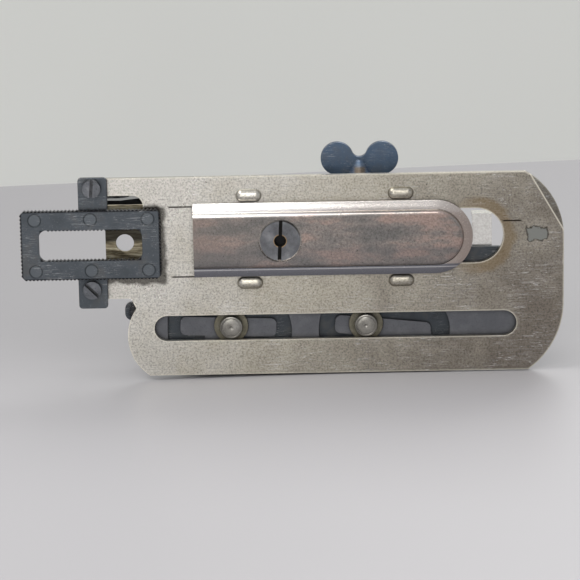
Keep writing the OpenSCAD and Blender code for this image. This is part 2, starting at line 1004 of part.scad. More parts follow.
// Drawing of the fork arm in X and Y
module fork_outline() {
  root_x = fork_left + 11;
  difference() {
    union() {
      translate([fork_x, fork_y])
        circle(d = 8);
      polygon([
        [fork_x, fork_y + 4],
        [root_x + 6, fork_y + 3],
        [root_x, fork_y + fork_gap / 2 + prong],
        [fork_left, fork_y + fork_gap / 2 + prong - 0.6],
        [fork_left, fork_y - fork_gap / 2 - prong + 0.6],
        [root_x, fork_y - fork_gap / 2 - prong],
        [root_x + 6, fork_y - 3],
        [fork_x, fork_y - 3.4]
      ]);
      translate([fork_leg_x - 2.4, fork_leg_end])
        square([4.8, fork_y - fork_leg_end]);
    }
    translate([root_x - 1, fork_y])
      circle(d = fork_gap);
    translate([fork_left - 1, fork_y - fork_gap / 2])
      square([root_x - fork_left, fork_gap]);
  }
}

module fork_arm() {
  color("#B5B2A8")
    placed()
      difference() {
        translate([0, 0, fork_z])
          linear_extrude(fork_t)
            fork_outline();
        bar_z(fork_x, fork_y, 0, 60, 3 + 2 * run_fit);
        bar_y(fork_leg_x, fork_z + fork_t / 2, 0, fork_leg_end + 2, 1.4);
      }
}

module feed_pawl() {
  tip = [fork_x - 3, wheel_z + wheel_r + 0.4];
  heel = [fork_leg_x, fork_z + fork_t / 2];
  color("#7B7E84")
    placed()
      difference() {
        plate(wheel_y + 0.3, wheel_t - 0.2)
          union() {
            translate(heel)
              circle(d = 3.4);
            polygon([heel + [-1, 1.2], heel + [-1, -1.4], tip + [0.9, 0], tip, tip + [-0.4, 1.2]]);
          }
        bar_y(heel[0], heel[1], 0, 20, 1.4 + 2 * run_fit);
      }
}

module pawl_pin() {
  color("#8F9194")
    placed() {
      bar_y(fork_leg_x, fork_z + fork_t / 2, wheel_y - 0.2, fork_leg_end + 2, 1.4);
      bar_y(fork_leg_x, fork_z + fork_t / 2, wheel_y - 0.8, wheel_y - 0.2, 2.4);
    }
}

// ---- Levers and links ----

lever_y = cover_top + 0.8;
lever_t = 1.2;
lever_l = 15.5;

// Lever with a knurled stud, pointing from the shaft along aim
module lever(x, z, aim) {
  tip = [x, z] + lever_l * [cos(aim), sin(aim)];
  difference() {
    union() {
      plate(lever_y, lever_t)
        union() {
          strip([x, z], tip, 4.4);
          translate([x, z])
            circle(d = 7.4);
          translate(tip)
            rotate(aim)
              polygon([[1, -1.5], [4.4, 0], [1, 1.5]]);
        }
      plate(lever_y + lever_t, 3.2)
        translate(tip)
          polygon(ring_teeth(24, 2.7, 3, 0.5));
    }
    bar_y(x, z, 0, 30, shaft_d);
  }
}

module lever_shaft(x, z) {
  bar_y(x, z, crank_y, lever_y + lever_t, shaft_d);
  difference() {
    bar_y(x, z, lever_y + lever_t, lever_y + lever_t + 1.4, 5.6);
    translate([x, lever_y + lever_t + 1.4, z])
      rotate([0, 60, 0])
        cube([1, 1.4, 8], center = true);
  }
}

// Crank behind the stud plate, with a pin that reaches into a link
module crank(x, z, pin_x, pin_z) {
  difference() {
    union() {
      plate(crank_y, crank_t)
        union() {
          strip([x, z], [pin_x, pin_z], 4.4);
          translate([x, z])
            circle(d = 7);
        }
      bar_y(pin_x, pin_z, link_y + 0.1, crank_y + crank_t, 2.2);
    }
    bar_y(x, z, 0, 30, shaft_d);
  }
}

crank_pin_z = 7.2;
space_pin_x = space_x - 4;
bight_drop = 0.45;
space_drop = 1;
bight_tilt = -2;
space_tilt = -6;

module bight_lever() {
  color("#B5B2A8")
    placed()
      lever(bight_x, bight_z, bight_aim);
}

module bight_shaft() {
  color("#8F9194")
    placed()
      lever_shaft(bight_x, bight_z);
}

module bight_crank() {
  color("#3F424A")
    placed()
      crank(bight_x, bight_z, bight_x, crank_pin_z);
}

// Slotted link; its long slot rides on a guide stud, and a tab below takes a crank's pin
module link(mid_x, tilt, stud_x, pin_x, link_drop) {
  length = 27.4;
  width = 5.4;
  corner = 1.7;
  tab_w = 5.8;
  pin_slot_w = 2.8;
  mid_z = stud_z - link_drop;
  from = mid_x - length / 2 - stud_x;
  difference() {
    plate(link_y, link_t)
      union() {
        translate([stud_x, mid_z])
          rotate(tilt)
            round_rect(from, -width / 2, from + length, width / 2, corner);
        round_rect(pin_x - tab_w / 2, crank_pin_z - 2.6, pin_x + tab_w / 2, mid_z - 1, corner);
      }
    plate(0, 10)
      translate([stud_x, mid_z])
        rotate(tilt)
          round_rect(-4.8, link_drop - 2.05, 4.8, link_drop + 2.05, 1.5);
    plate(0, 10)
      translate([pin_x, crank_pin_z])
        rotate(90 + tilt)
          slot(-1.8, 1.8, 0, pin_slot_w);
  }
}

module bight_link() {
  color("#8C8C8E")
    placed()
      link(-18.6, bight_tilt, stud_x1, bight_x, bight_drop);
}

module space_lever() {
  color("#B5B2A8")
    placed()
      lever(space_x, space_z, space_aim);
}

module space_shaft() {
  color("#8F9194")
    placed()
      lever_shaft(space_x, space_z);
}

module space_crank() {
  color("#3F424A")
    placed()
      crank(space_x, space_z, space_pin_x, crank_pin_z);
}

module space_link() {
  color("#8C8C8E")
    placed()
      link(25.5, space_tilt, stud_x2, space_pin_x, space_drop);
}

// ---- Length pointer and wing screw ----

pointer_low = cover_h + 0.55;
pointer_high = pointer_low + 1.8;

module length_pointer() {
  half = 5;
  color("#B5B2A8")
    placed()
      difference() {
        translate([0, 0, pointer_low])
          linear_extrude(pointer_high - pointer_low)
            polygon([
              [wing_x - half, wing_y + 3.6],
              [wing_x - half, wing_y - 3],
              [wing_x, wing_y - 5.6],
              [wing_x + half, wing_y - 3],
              [wing_x + half, wing_y + 3.6]
            ]);
        bar_z(wing_x, wing_y, 40, 60, 3.6 + 2 * run_fit);
      }
}

module length_nut() {
  thick = 1;
  top = cover_h - cover_wall - 0.3;
  color("#8F9194")
    placed()
      difference() {
        union() {
          translate([wing_x - 3.4, wing_y - 3.4, top - thick])
            cube([6.8, 6.8, thick]);
          translate([wing_x - 3.4, wing_y - 1.8, top])
            cube([6.8, 3.6, pointer_low - top]);
        }
        bar_z(wing_x, wing_y, 40, 60, 3.6 + 2 * run_fit);
      }
}

module wing_screw() {
  blade_t = 2;
  hub_low = pointer_high + 0.3;
  hub_high = 59.4;
  web_half = wing_spacing / 2;
  saddle = 0.4;
  notch_r = (web_half * web_half + saddle * saddle - wing_r * wing_r) / (2 * (wing_r - saddle));
  notch_z = saddle + notch_r;
  touch = [web_half, notch_z] * wing_r / (wing_r + notch_r);
  color("#4E6070")
    placed() {
      bar_z(wing_x, wing_y, cover_h - cover_wall - 1.2, hub_low, 3.6);
      translate([wing_x, wing_y, hub_low])
        cylinder(d1 = 8.8, d2 = 2.6, h = hub_high - hub_low);
      plate(wing_y - blade_t / 2, blade_t)
        union() {
          for (side = [-1, 1])
            translate([wing_x + side * web_half, wing_z])
              circle(r = wing_r);
          difference() {
            polygon([
              [wing_x - web_half, wing_z - wing_r],
              [wing_x - 2, wing_z - 6],
              [wing_x + 2, wing_z - 6],
              [wing_x + web_half, wing_z - wing_r],
              [wing_x + web_half, wing_z],
              [wing_x + web_half - touch[0], wing_z + touch[1]],
              [wing_x - web_half + touch[0], wing_z + touch[1]],
              [wing_x - web_half, wing_z]
            ]);
            translate([wing_x, wing_z + notch_z])
              circle(r = notch_r);
          }
        }
    }
}

// ---- Foot ----

shank_left = -42;
shank_l = 7;
shank_low = 34;
shank_w = 8;
rivet_x = shank_left + shank_l / 2;
rivet_z = [shank_low + 1.9, shank_low + shank_w - 1.9];

module foot_sole() {
  low = shoe_z - sole_h / 2;
  high = shoe_z + sole_h / 2;
  color("#9A978B")
    placed()
      difference() {
        plate(strap_y, strap_t)
          union() {
            round_rect(sole_left, low, shank_left + 8.4, high, 1.2);
            strip([shank_left + 6, shoe_z - 1], [pivot_x, shoe_z], 9);
          }
        bar_y(needle_x, needle_z, 0, 10, needle_d);
        bar_y(pivot_x, shoe_z, 0, 10, pivot_d + 2 * run_fit);
        for (z = rivet_z)
          bar_y(rivet_x, z, 0, 10, 1.6);
      }
}

module foot_shank() {
  top = back_y - 0.6;
  screw_y = top - 8;
  color("#A8A599")
    placed()
      difference() {
        translate([shank_left, strap_y + strap_t, shank_low])
          cube([shank_l, top - strap_y - strap_t, shank_w]);
        translate([shank_left - eps, screw_y - 2.1, shank_low - eps])
          cube([shank_l - 2.2, 4.2, shank_w + 2 * eps]);
        translate([shank_left - eps, screw_y - 6, shank_low + 2])
          cube([1.6 + eps, 20, shank_w + eps]);
        for (z = rivet_z)
          bar_y(rivet_x, z, strap_y, strap_y + strap_t + 3, 1.6);
      }
}

module shank_rivets() {
  color("#8C8A80")
    placed()
      for (z = rivet_z)
        bar_y(rivet_x, z, strap_y, strap_y + strap_t + 3, 1.6);
}

// ---- Adjusting nut at the plate's notch ----

module adjusting_nut() {
  ridges = 22;
  color("#24262B")
    placed()
      difference() {
        plate(plate_t + 0.3, 1.4)
          translate([adjust_x, adjust_z])
            polygon(ring_teeth(ridges, adjust_r - 0.5, adjust_r, 0.35));
        bar_y(adjust_x, adjust_z, 0, 10, 2 + 2 * run_fit);
      }
}

module adjusting_stud() {
  color("#5F6063")
    placed()
      bar_y(adjust_x, adjust_z, plate_t + 0.5, stud_plate_y + stud_plate_t, 2);
}

base_plate();
clamp_ears();
cloth_clamp();
clamp_screws();
follower_post();
follower_roller();
frame_plate();
stud_plate();
cover();
cover_screws();
guide_studs();
stud_washers();
slide_block();
slide_shoe();
pivot_screw();
pivot_washer();
pivot_nut();
fork_bracket();
fork_pin();
wheel_bush();
bight_scale();
space_scale();
length_scale();
scale_pins();
rear_bracket();
retainer_plate();
bracket_screws();
pawl_post();
pawl_spring();
holding_pawl();
ratchet_wheel();
cam_plate();
wheel_spindle();
wheel_knob();
knob_screw();
fork_arm();
feed_pawl();
pawl_pin();
bight_lever();
bight_shaft();
bight_crank();
bight_link();
space_lever();
space_shaft();
space_crank();
space_link();
length_pointer();
length_nut();
wing_screw();
foot_sole();
foot_shank();
shank_rivets();
adjusting_nut();
adjusting_stud();
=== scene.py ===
"""Finished surfaces of a buttonhole attachment for a sewing machine, built around its packed CAD model."""
import json
import math

import bmesh
import bpy
import numpy as np
from mathutils import Matrix, Vector


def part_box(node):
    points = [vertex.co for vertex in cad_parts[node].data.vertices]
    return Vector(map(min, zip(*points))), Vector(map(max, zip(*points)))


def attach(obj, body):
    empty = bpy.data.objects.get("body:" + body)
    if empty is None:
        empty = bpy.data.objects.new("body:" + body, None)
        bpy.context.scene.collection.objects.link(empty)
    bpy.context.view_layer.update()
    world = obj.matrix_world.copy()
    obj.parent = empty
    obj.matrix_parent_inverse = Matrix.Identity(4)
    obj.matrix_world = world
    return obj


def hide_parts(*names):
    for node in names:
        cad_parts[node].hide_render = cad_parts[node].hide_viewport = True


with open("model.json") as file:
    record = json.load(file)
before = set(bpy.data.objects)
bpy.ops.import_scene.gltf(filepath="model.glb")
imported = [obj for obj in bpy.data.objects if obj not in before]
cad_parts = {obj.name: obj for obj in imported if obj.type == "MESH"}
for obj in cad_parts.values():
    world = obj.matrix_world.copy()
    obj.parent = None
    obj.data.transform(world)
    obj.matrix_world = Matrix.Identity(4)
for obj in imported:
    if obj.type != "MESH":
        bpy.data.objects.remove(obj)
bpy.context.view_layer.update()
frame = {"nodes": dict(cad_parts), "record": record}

RECORD = frame["record"]
MM = 0.001

bl_info = {
    "name": "Buttonhole attachment finishes",
    "version": (1, 0, 0),
    "blender": (4, 5, 0),
    "location": "View3D > Sidebar > Attachment",
    "description": "Builds the finished pieces of a buttonhole attachment around its CAD frame",
    "category": "Object",
}

NODE_BODY = {node: body for body, nodes in RECORD["behaviour"]["bodies"].items() for node in nodes}


def linear(code):
    """Linear RGBA of an sRGB hex colour such as #C0BAA8."""
    parts = [int(code[i:i + 2], 16) / 255 for i in (1, 3, 5)]
    return tuple(c / 12.92 if c <= 0.04045 else ((c + 0.055) / 1.055) ** 2.4 for c in parts) + (1.0,)


# ---- Settings that a user would change ----

def colour(name, words, code):
    """Colour property whose default is an sRGB hex code."""
    return bpy.props.FloatVectorProperty(
        name=name, description=words, default=linear(code), size=4, min=0, max=1, subtype="COLOR")


def length(name, words, mm, top=5):
    """Length property whose default is in millimetres."""
    return bpy.props.FloatProperty(
        name=name, description=words, default=mm * MM, min=0, max=top * MM,
        unit="LENGTH", subtype="DISTANCE")


class AttachmentSizes(bpy.types.PropertyGroup):
    """Sizes of the finish that the CAD model leaves open."""
    sheet_edge: length("Sheet edge", "Round on the edges of pressed sheet", 0.42)
    small_edge: length("Small edge", "Round on the edges of small machined parts", 0.14)
    wing_edge: length("Wing edge", "Round on the edges of the wing screw", 0.62)
    shoe_shoulder: length("Shoe shoulder", "Radius of the pressed shoulder of the slide shoe", 1.1)
    cover_side: length("Cover corner", "Radius of the cover's upright corners", 5, 10)
    cover_round: length("Cover rim", "Radius between the cover's walls and its top", 3)


class AttachmentColours(bpy.types.PropertyGroup):
    """Colours of the finishes."""
    nickel: colour("Nickel", "Worn nickel plate where it is clean", "#BFB9AA")
    nickel_dull: colour("Dull nickel", "Worn nickel plate where it has tarnished", "#7F776D")
    oil: colour("Oil stain", "Dried oil round the slots", "#7A6238")
    oxide: colour("Blue oxide", "Blue-black oxide of the clamp", "#4C5156")
    oxide_worn: colour("Worn oxide", "Oxide rubbed back to steel", "#8B9093")
    bright: colour("Bright nickel", "Polished nickel of the shoe", "#D6CFC9")
    steel: colour("Steel", "Turned steel of studs and screws", "#AFAAA2")
    steel_dark: colour("Dark steel", "Oiled and darkened steel", "#65676B")
    plate_grey: colour("Grey steel", "Dull grey steel of the frame plate", "#616266")
    enamel: colour("Enamel", "Black stoving enamel of the cover", "#0E0F11")
    brass: colour("Brass", "Turned brass of the bush", "#B08D57")
    knob: colour("Knob", "Black phenolic of the knob", "#1A1A1C")
    floor: colour("Floor", "Pale table top", "#AEACAE")
    wall: colour("Wall", "Pale wall behind the table", "#E3E2DB")


def sizes():
    """The size settings of the scene."""
    return bpy.context.scene.attachment_sizes


def colours():
    """The colour settings of the scene."""
    return bpy.context.scene.attachment_colours


# ---- Node trees ----

def feed(tree, socket, value):
    """Fills an input with a constant, or links it to a socket or to a node's first output."""
    if isinstance(value, bpy.types.Node):
        value = value.outputs[0]
    if isinstance(value, bpy.types.NodeSocket):
        tree.links.new(value, socket)
    else:
        socket.default_value = value


def add(tree, kind, inputs=None, stops=None, **settings):
    """Adds a shader node, sets its properties and its ramp's stops, and feeds its inputs."""
    made = tree.nodes.new("ShaderNode" + kind)
    for key, value in settings.items():
        setattr(made, key, value)
    for key, value in (inputs or {}).items():
        feed(tree, made.inputs[key], value)
    if stops:
        ramp = made.color_ramp
        while len(ramp.elements) < len(stops):
            ramp.elements.new(0.5)
        for element, (place, value) in zip(ramp.elements, stops):
            element.position = place
            element.color = value
    return made


def grey(value):
    """Opaque grey of a linear value."""
    return (value, value, value, 1.0)


def begin(name, **shader):
    """Material with one Principled shader; gives the tree, the shader and the object's own coordinates."""
    material = bpy.data.materials.new(name)
    material.use_nodes = True
    tree = material.node_tree
    tree.nodes.clear()
    surface = add(tree, "BsdfPrincipled", shader)
    add(tree, "OutputMaterial", {"Surface": surface})
    place = add(tree, "TexCoord").outputs["Object"]
    return material, tree, surface, place


def off_centre(tree, value, centre):
    """How far a value lies from a centre, on either side."""
    signed = add(tree, "Math", {0: value, 1: centre}, operation="SUBTRACT")
    return add(tree, "Math", {0: signed}, operation="ABSOLUTE")


def from_axis(tree, place, x, z):
    """Distance from the line along Y through x and z."""
    flat = add(tree, "VectorMath", {0: place, 1: (1, 0, 1)}, operation="MULTIPLY")
    return add(tree, "VectorMath", {0: flat, 1: (x, 0, z)}, operation="DISTANCE").outputs["Value"]


def band(tree, value, low, high, fade):
    """Mask that is 1 where a value lies between low and high, and fades to 0 beyond them."""
    away = off_centre(tree, value, (low + high) / 2)
    half = (high - low) / 2
    return add(tree, "MapRange", {"Value": away, "From Min": half, "From Max": half + fade,
                                            "To Min": 1.0, "To Max": 0.0},
               interpolation_type="SMOOTHSTEP")


def times(tree, *masks):
    """Product of several masks."""
    last = masks[0]
    for mask in masks[1:]:
        last = add(tree, "Math", {0: last, 1: mask}, operation="MULTIPLY")
    return last


def lay(tree, mask, under, over, blend="MIX"):
    """Lays one colour over another where a mask says."""
    return add(tree, "Mix", {"Factor": mask, "A": under, "B": over},
               data_type="RGBA", blend_type=blend).outputs["Result"]


def stain(tree, last, code, *masks):
    """Lays an sRGB hex colour over the last one where every mask lets it through."""
    return lay(tree, times(tree, *masks), last, linear(code))


def finish_surface(tree, surface, last, rough=None, relief=None):
    """Feeds the shader its colour; its roughness, given as a source, the two ends of the source's range and
    the roughness at each; and its bump, given as a height, a strength and a depth in millimetres."""
    feed(tree, surface.inputs["Base Color"], last)
    if rough:
        keys = ("Value", "From Min", "From Max", "To Min", "To Max")
        feed(tree, surface.inputs["Roughness"], add(tree, "MapRange", dict(zip(keys, rough))))
    if relief:
        height, strength, depth = relief
        bump = add(tree, "Bump", {"Height": height, "Strength": strength, "Distance": depth * MM})
        feed(tree, surface.inputs["Normal"], bump)


def corner_dirt_and_shade(tree, last, reach, strength, tint="#1B1916"):
    """Dirt that settles in corners, found by how much of the sky a point loses within the given reach."""
    hidden = add(tree, "AmbientOcclusion", {"Distance": reach}, samples=4).outputs["AO"]
    dirt = add(tree, "MapRange",
               {"Value": hidden, "From Min": 0.3, "From Max": 0.85, "To Min": strength, "To Max": 0.0})
    return stain(tree, last, tint, dirt)


def rubbed_and_highlit_edges(tree, last, reach, strength, tint):
    """Edges rubbed bright, found by how near the outside lies when looking into the metal."""
    solid = add(tree, "AmbientOcclusion", {"Distance": reach}, samples=4, inside=True, only_local=True)
    edge = add(tree, "MapRange",
               {"Value": solid.outputs["AO"], "From Min": 0.5, "From Max": 0.9,
                "To Min": strength, "To Max": 0.0})
    return stain(tree, last, tint, edge)


def scratches(tree, place, last, turns):
    """Long hairline scratches: noise stretched along a turned direction, shown in patches a few mm wide."""
    for turn, stretch, depth, size in turns:
        turned = add(tree, "Mapping",
                     {"Vector": place, "Rotation": (0, math.radians(turn), 0), "Scale": (1, 1, stretch)})
        line = add(tree, "TexNoise",
                   {"Vector": turned, "Scale": 1 / (size * MM), "Detail": 1.0, "Distortion": 0.1})
        hair = add(tree, "ValToRGB", {"Fac": line},
                   stops=[(0.490, grey(0.0)), (0.5, grey(1.0)), (0.510, grey(0.0))])
        gate = add(tree, "TexNoise", {"Vector": place, "Scale": 1 / (8 * MM), "W": float(turn)},
                   noise_dimensions="4D")
        show = add(tree, "ValToRGB", {"Fac": gate}, stops=[(0.46, grey(0.0)), (0.6, grey(0.75))])
        last = lay(tree, times(tree, hair, show), last, grey(depth))
    return last


def worn_nickel(name, clean, dull, stained=False):
    """Nickel plate on steel, buffed and then worn: soft warm tarnish, tiny dark pits, hairline scratches."""
    material, tree, surface, place = begin(name, Metallic=0.95)
    patches = add(tree, "TexNoise",
                  {"Vector": place, "Scale": 1 / (14 * MM), "Detail": 6.0, "Roughness": 0.62,
                   "Distortion": 0.4})
    grain = add(tree, "TexNoise",
                {"Vector": place, "Scale": 1 / (0.55 * MM), "Detail": 3.0, "Roughness": 0.7})
    pits = add(tree, "TexNoise", {"Vector": place, "Scale": 1 / (0.9 * MM), "Detail": 1.0})
    tarnish = add(tree, "Math", {0: patches, 1: 0.5, 2: 0.15}, operation="MULTIPLY_ADD")
    # The tone darkens by 5.2 per metre to the right and lightens by 3.5 per metre upwards.
    drift = add(tree, "VectorMath", {0: place, 1: (5.2, 0, -3.5)}, operation="DOT_PRODUCT")
    tone_level = add(tree, "Math", {0: drift.outputs["Value"], 1: tarnish}, operation="ADD")
    tone = add(tree, "ValToRGB", {"Fac": tone_level},
               stops=[(0.1, mix_rgb(clean, grey(1.0), 0.3)), (0.3, clean),
                      (0.52, mix_rgb(clean, dull, 0.55)), (0.7, dull)])
    sand = add(tree, "ValToRGB", {"Fac": grain},
               stops=[(0.34, grey(0.42)), (0.5, grey(0.84)), (0.62, grey(1.0))])
    sanded = lay(tree, 0.85, tone, sand, "MULTIPLY")
    spots = add(tree, "ValToRGB", {"Fac": pits}, stops=[(0.20, grey(1.0)), (0.27, grey(0.0))])
    last = lay(tree, spots, sanded, mix_rgb(dull, grey(0.0), 0.6))
    last = scratches(tree, place, last, ((6, 30, 0.85, 9), (-38, 24, 0.16, 11), (68, 24, 0.9, 10)))
    if stained:
        last = plate_marks(tree, place, last)
    # Painted shade in corners and recesses, also standing for dirt.
    last = corner_dirt_and_shade(tree, last, 1.6 * MM, 0.6, "#2A241C")
    # Painted highlight along the plate's edges, partly standing for rubbed wear.
    last = rubbed_and_highlit_edges(tree, last, 0.5 * MM, 0.75, "#EDE7D6")
    finish_surface(tree, surface, last, (tone_level, 0.0, 0.7, 0.26, 0.42), (grain, 0.35, 0.03))
    return material


def mix_rgb(a, b, share):
    """Colour between a and b."""
    return tuple(p + (q - p) * share for p, q in zip(a, b))


def filed_corner():
    """Plane of the chamfer at the plate's upper right corner, as a point and an outward normal. It starts on
    the front face along a line that leans 30.2 degrees from upright, and falls 1.2 mm over 2.5 mm."""
    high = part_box("base_plate")[1]
    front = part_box("clamp_ears")[1].y
    lean = math.radians(30.2)
    start = Vector((high.x - 7 * MM, front, high.z - 5.1 * MM))
    width, fall = 2.5, 1.2
    return start, Vector((math.cos(lean) * fall, -width, math.sin(lean) * fall)).normalized()


def plate_marks(tree, place, last):
    """Marks of use on the base plate: dried oil round the right end of the shoe's slot, a filed corner, dirt
    round the clamp, three dark folds beside the shoe and one solder smear."""
    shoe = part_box("slide_shoe")
    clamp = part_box("cloth_clamp")
    axis = add(tree, "SeparateXYZ", {"Vector": place})
    x, z = axis.outputs["X"], axis.outputs["Z"]
    wobble = add(tree, "TexNoise", {"Vector": place, "Scale": 1 / (4 * MM), "Detail": 4.0})
    sway = add(tree, "Math", {0: wobble, 1: 3.4 * MM, 2: -1.7 * MM}, operation="MULTIPLY_ADD")
    # Oil: the distance from the slot's end, swayed by noise, lies between 8.4 and 10 mm.
    slot_x = shoe[1].x + 0.9 * MM
    slot_z = (shoe[0].z + shoe[1].z) / 2
    away = from_axis(tree, place, slot_x, slot_z)
    swayed = add(tree, "Math", {0: away, 1: sway}, operation="ADD")
    ring = band(tree, swayed, 8.4 * MM, 10 * MM, 2.0 * MM)
    right = add(tree, "MapRange", {"Value": x, "From Min": slot_x - 9 * MM,
                                             "From Max": slot_x + 2 * MM, "To Min": 0.0, "To Max": 0.45})
    last = lay(tree, times(tree, ring, right), last, tuple(colours().oil))
    # Filed corner: painted shade on the facet and a painted highlight along the line where it leaves the
    # face.
    start, facing = filed_corner()
    across = Vector((facing.x, 0, facing.z)).normalized()
    beyond = add(tree, "VectorMath", {0: place, 1: tuple(across)}, operation="DOT_PRODUCT")
    offset = across.dot(start)
    for low_edge, high_edge, share, tint in ((0.4, 3.4, 0.16, "#4A463F"), (-0.1, 0.1, 0.75, "#E6DFCE")):
        strip = band(tree, beyond.outputs["Value"],
                     offset + low_edge * MM, offset + high_edge * MM, 0.15 * MM)
        last = stain(tree, last, tint, strip, share)
    # Dirt and the clamp's painted shadow: a frame-shaped band just outside the clamp, wider below and to the
    # right of it.
    edge_x = add(tree, "Math", {0: x, 1: sway}, operation="ADD")
    edge_z = add(tree, "Math", {0: z, 1: sway}, operation="ADD")
    beside = band(tree, edge_x, clamp[0].x, clamp[1].x + 0.6 * MM, 1.4 * MM)
    along = band(tree, edge_z, clamp[0].z - 1.6 * MM, clamp[1].z - 0.6 * MM, 1.4 * MM)
    last = stain(tree, last, "#2B2721", beside, along, 0.8)
    # Folds: short dark lines 0.22 mm wide, soft by 0.2 mm on each side.
    for x0, x1, height in ((shoe[0].x - 6.5 * MM, shoe[0].x + 2 * MM, shoe[1].z - 1.1 * MM),
                           (shoe[0].x - 6 * MM, shoe[0].x + 2 * MM, shoe[0].z - 0.1 * MM),
                           (slot_x + 8 * MM, slot_x + 12.5 * MM, slot_z + 4 * MM)):
        last = stain(tree, last, "#2A241F", band(tree, x, x0, x1, 0.8 * MM),
                     band(tree, z, height, height + 0.22 * MM, 0.2 * MM))
    # Smear: a patch 5 by 3 mm with a ragged edge, dark where it ends.
    ragged = add(tree, "TexNoise", {"Vector": place, "Scale": 1 / (1.5 * MM), "Detail": 3.0})
    smear_z = add(tree, "Math", {0: ragged, 1: 3 * MM, 2: z}, operation="MULTIPLY_ADD")
    for grow, tint in ((0.35 * MM, "#3A3733"), (0.0, "#8D8F8A")):
        wide = band(tree, edge_x, slot_x + 14.6 * MM - grow, slot_x + 19.6 * MM + grow, 0.3 * MM)
        tall = band(tree, smear_z, slot_z + 0.1 * MM - grow, slot_z + 3.1 * MM + grow, 0.3 * MM)
        last = stain(tree, last, tint, wide, tall, 0.8)
    return last


def clamp_marks(tree, axis, last, box, base, worn):
    """Marks of use on a toothed frame: dirt between the teeth and on the walls of the window, and six round
    press marks in three pairs, above and below the middle line."""
    low, high = box
    tooth = 0.75 * MM
    frame_w = 5.7 * MM
    mark_rise = 7.4 * MM
    for side, lo, hi in (("X", low.x, high.x), ("Z", low.z, high.z)):
        inner = (hi - lo) / 2 - tooth
        size = off_centre(tree, axis.outputs[side], (lo + hi) / 2)
        last = stain(tree, last, "#15161A", band(tree, size, inner + 0.35 * MM, inner + 5 * MM, 0.35 * MM))
    height = off_centre(tree, axis.outputs["Z"], (low.z + high.z) / 2)
    window_half = (high.z - low.z) / 2 - frame_w
    last = stain(tree, last, "#15161A",
                 band(tree, axis.outputs["X"], low.x + frame_w, high.x - frame_w, 0.2 * MM),
                 band(tree, height, 0.0, window_half, 0.15 * MM))
    for mark_x in (4.2, 19.9, 36.1):
        spot = add(tree, "CombineXYZ", {"X": axis.outputs["X"], "Z": height})
        away = from_axis(tree, spot, low.x + mark_x * MM, mark_rise)
        last = lay(tree, band(tree, away, 0, 1.5 * MM, 0.3 * MM), last, mix_rgb(base, worn, 0.12))
        last = stain(tree, last, "#1D1F23", band(tree, away, 1.7 * MM, 1.9 * MM, 0.2 * MM), 0.5)
    return last


def blued(name, base, worn, teeth=None, bare=None):
    """Steel blued in hot salts: even dark oxide, cloudy at a few millimetres, rubbed pale in small specks.
    teeth names a toothed node whose edges hold dirt; bare names a node whose hub is rubbed back to steel."""
    material, tree, surface, place = begin(name, Metallic=0.75)
    cloud = add(tree, "TexNoise", {"Vector": place, "Scale": 1 / (6 * MM), "Detail": 5.0, "Roughness": 0.6})
    speck = add(tree, "TexNoise",
                {"Vector": place, "Scale": 1 / (0.6 * MM), "Detail": 3.0, "Roughness": 0.75})
    warm = mix_rgb(base, linear("#5C5852"), 0.35)
    tone = add(tree, "ValToRGB", {"Fac": cloud},
               stops=[(0.35, mix_rgb(base, grey(0.0), 0.18)), (0.5, base), (0.66, warm)])
    rubbed = add(tree, "ValToRGB", {"Fac": speck}, stops=[(0.6, grey(0.0)), (0.76, grey(0.5))])
    last = lay(tree, rubbed, tone, worn)
    axis = add(tree, "SeparateXYZ", {"Vector": place})
    if teeth:
        last = clamp_marks(tree, axis, last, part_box(teeth), base, worn)
    if bare:
        low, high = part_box(bare)
        mid_x = (low.x + high.x) / 2
        hub = band(tree, axis.outputs["X"], mid_x - 1.0 * MM, mid_x + 1.0 * MM, 1.2 * MM)
        foot = band(tree, axis.outputs["Z"], low.z, high.z - 7.4 * MM, 1.0 * MM)
        last = stain(tree, last, "#584F45", hub, foot)
    last = scratches(tree, place, last, ((-30, 26, 0.5, 8),))
    # Painted shade in corners and recesses, also standing for dirt.
    last = corner_dirt_and_shade(tree, last, 1.2 * MM, 0.6, "#0E0E10")
    finish_surface(tree, surface, last, (cloud, 0.3, 0.7, 0.34, 0.48), (speck, 0.3, 0.03))
    return material


def polished_nickel(name, base, shoe=False):
    """Polished nickel over a pressed blank: mirror-like, with fine orange peel of half a millimetre. On the
    shoe the raised middle has gone grey and coppery in grains, and the flange has stayed bright."""
    material, tree, surface, place = begin(name, Metallic=1.0)
    peel = add(tree, "TexNoise", {"Vector": place, "Scale": 1 / (0.5 * MM), "Detail": 3.0, "Roughness": 0.7})
    drawn = add(tree, "Mapping", {"Vector": place, "Scale": (0.42, 1, 1.3)})
    cloud = add(tree, "TexNoise", {"Vector": drawn, "Scale": 1 / (7 * MM), "Detail": 5.0, "Roughness": 0.6})
    # On the shoe these greys are partly a painted dark reflection; the coppery stop is its own colour.
    tone = add(tree, "ValToRGB", {"Fac": cloud},
               stops=[(0.38, linear("#85827F")), (0.5, linear("#9C948E")), (0.6, linear("#B8A298"))])
    dots = add(tree, "ValToRGB", {"Fac": peel},
               stops=[(0.34, grey(0.42)), (0.5, grey(0.8)), (0.62, grey(1.0))])
    last = lay(tree, 0.8, tone, dots, "MULTIPLY")
    if shoe:
        # Painted highlights and painted dark reflections across the shoe, over its own tones.
        last = shoe_tones_and_reflections(tree, place, last, tuple(base))
    else:
        last = lay(tree, dots, linear("#A5A39D"), linear("#F0EEE8"))
    # Painted shade in corners and recesses, also standing for dirt.
    last = corner_dirt_and_shade(tree, last, 0.9 * MM, 0.5)
    finish_surface(tree, surface, last, (peel, 0.3, 0.7, 0.30, 0.14), (peel, 0.6, 0.04))
    return material


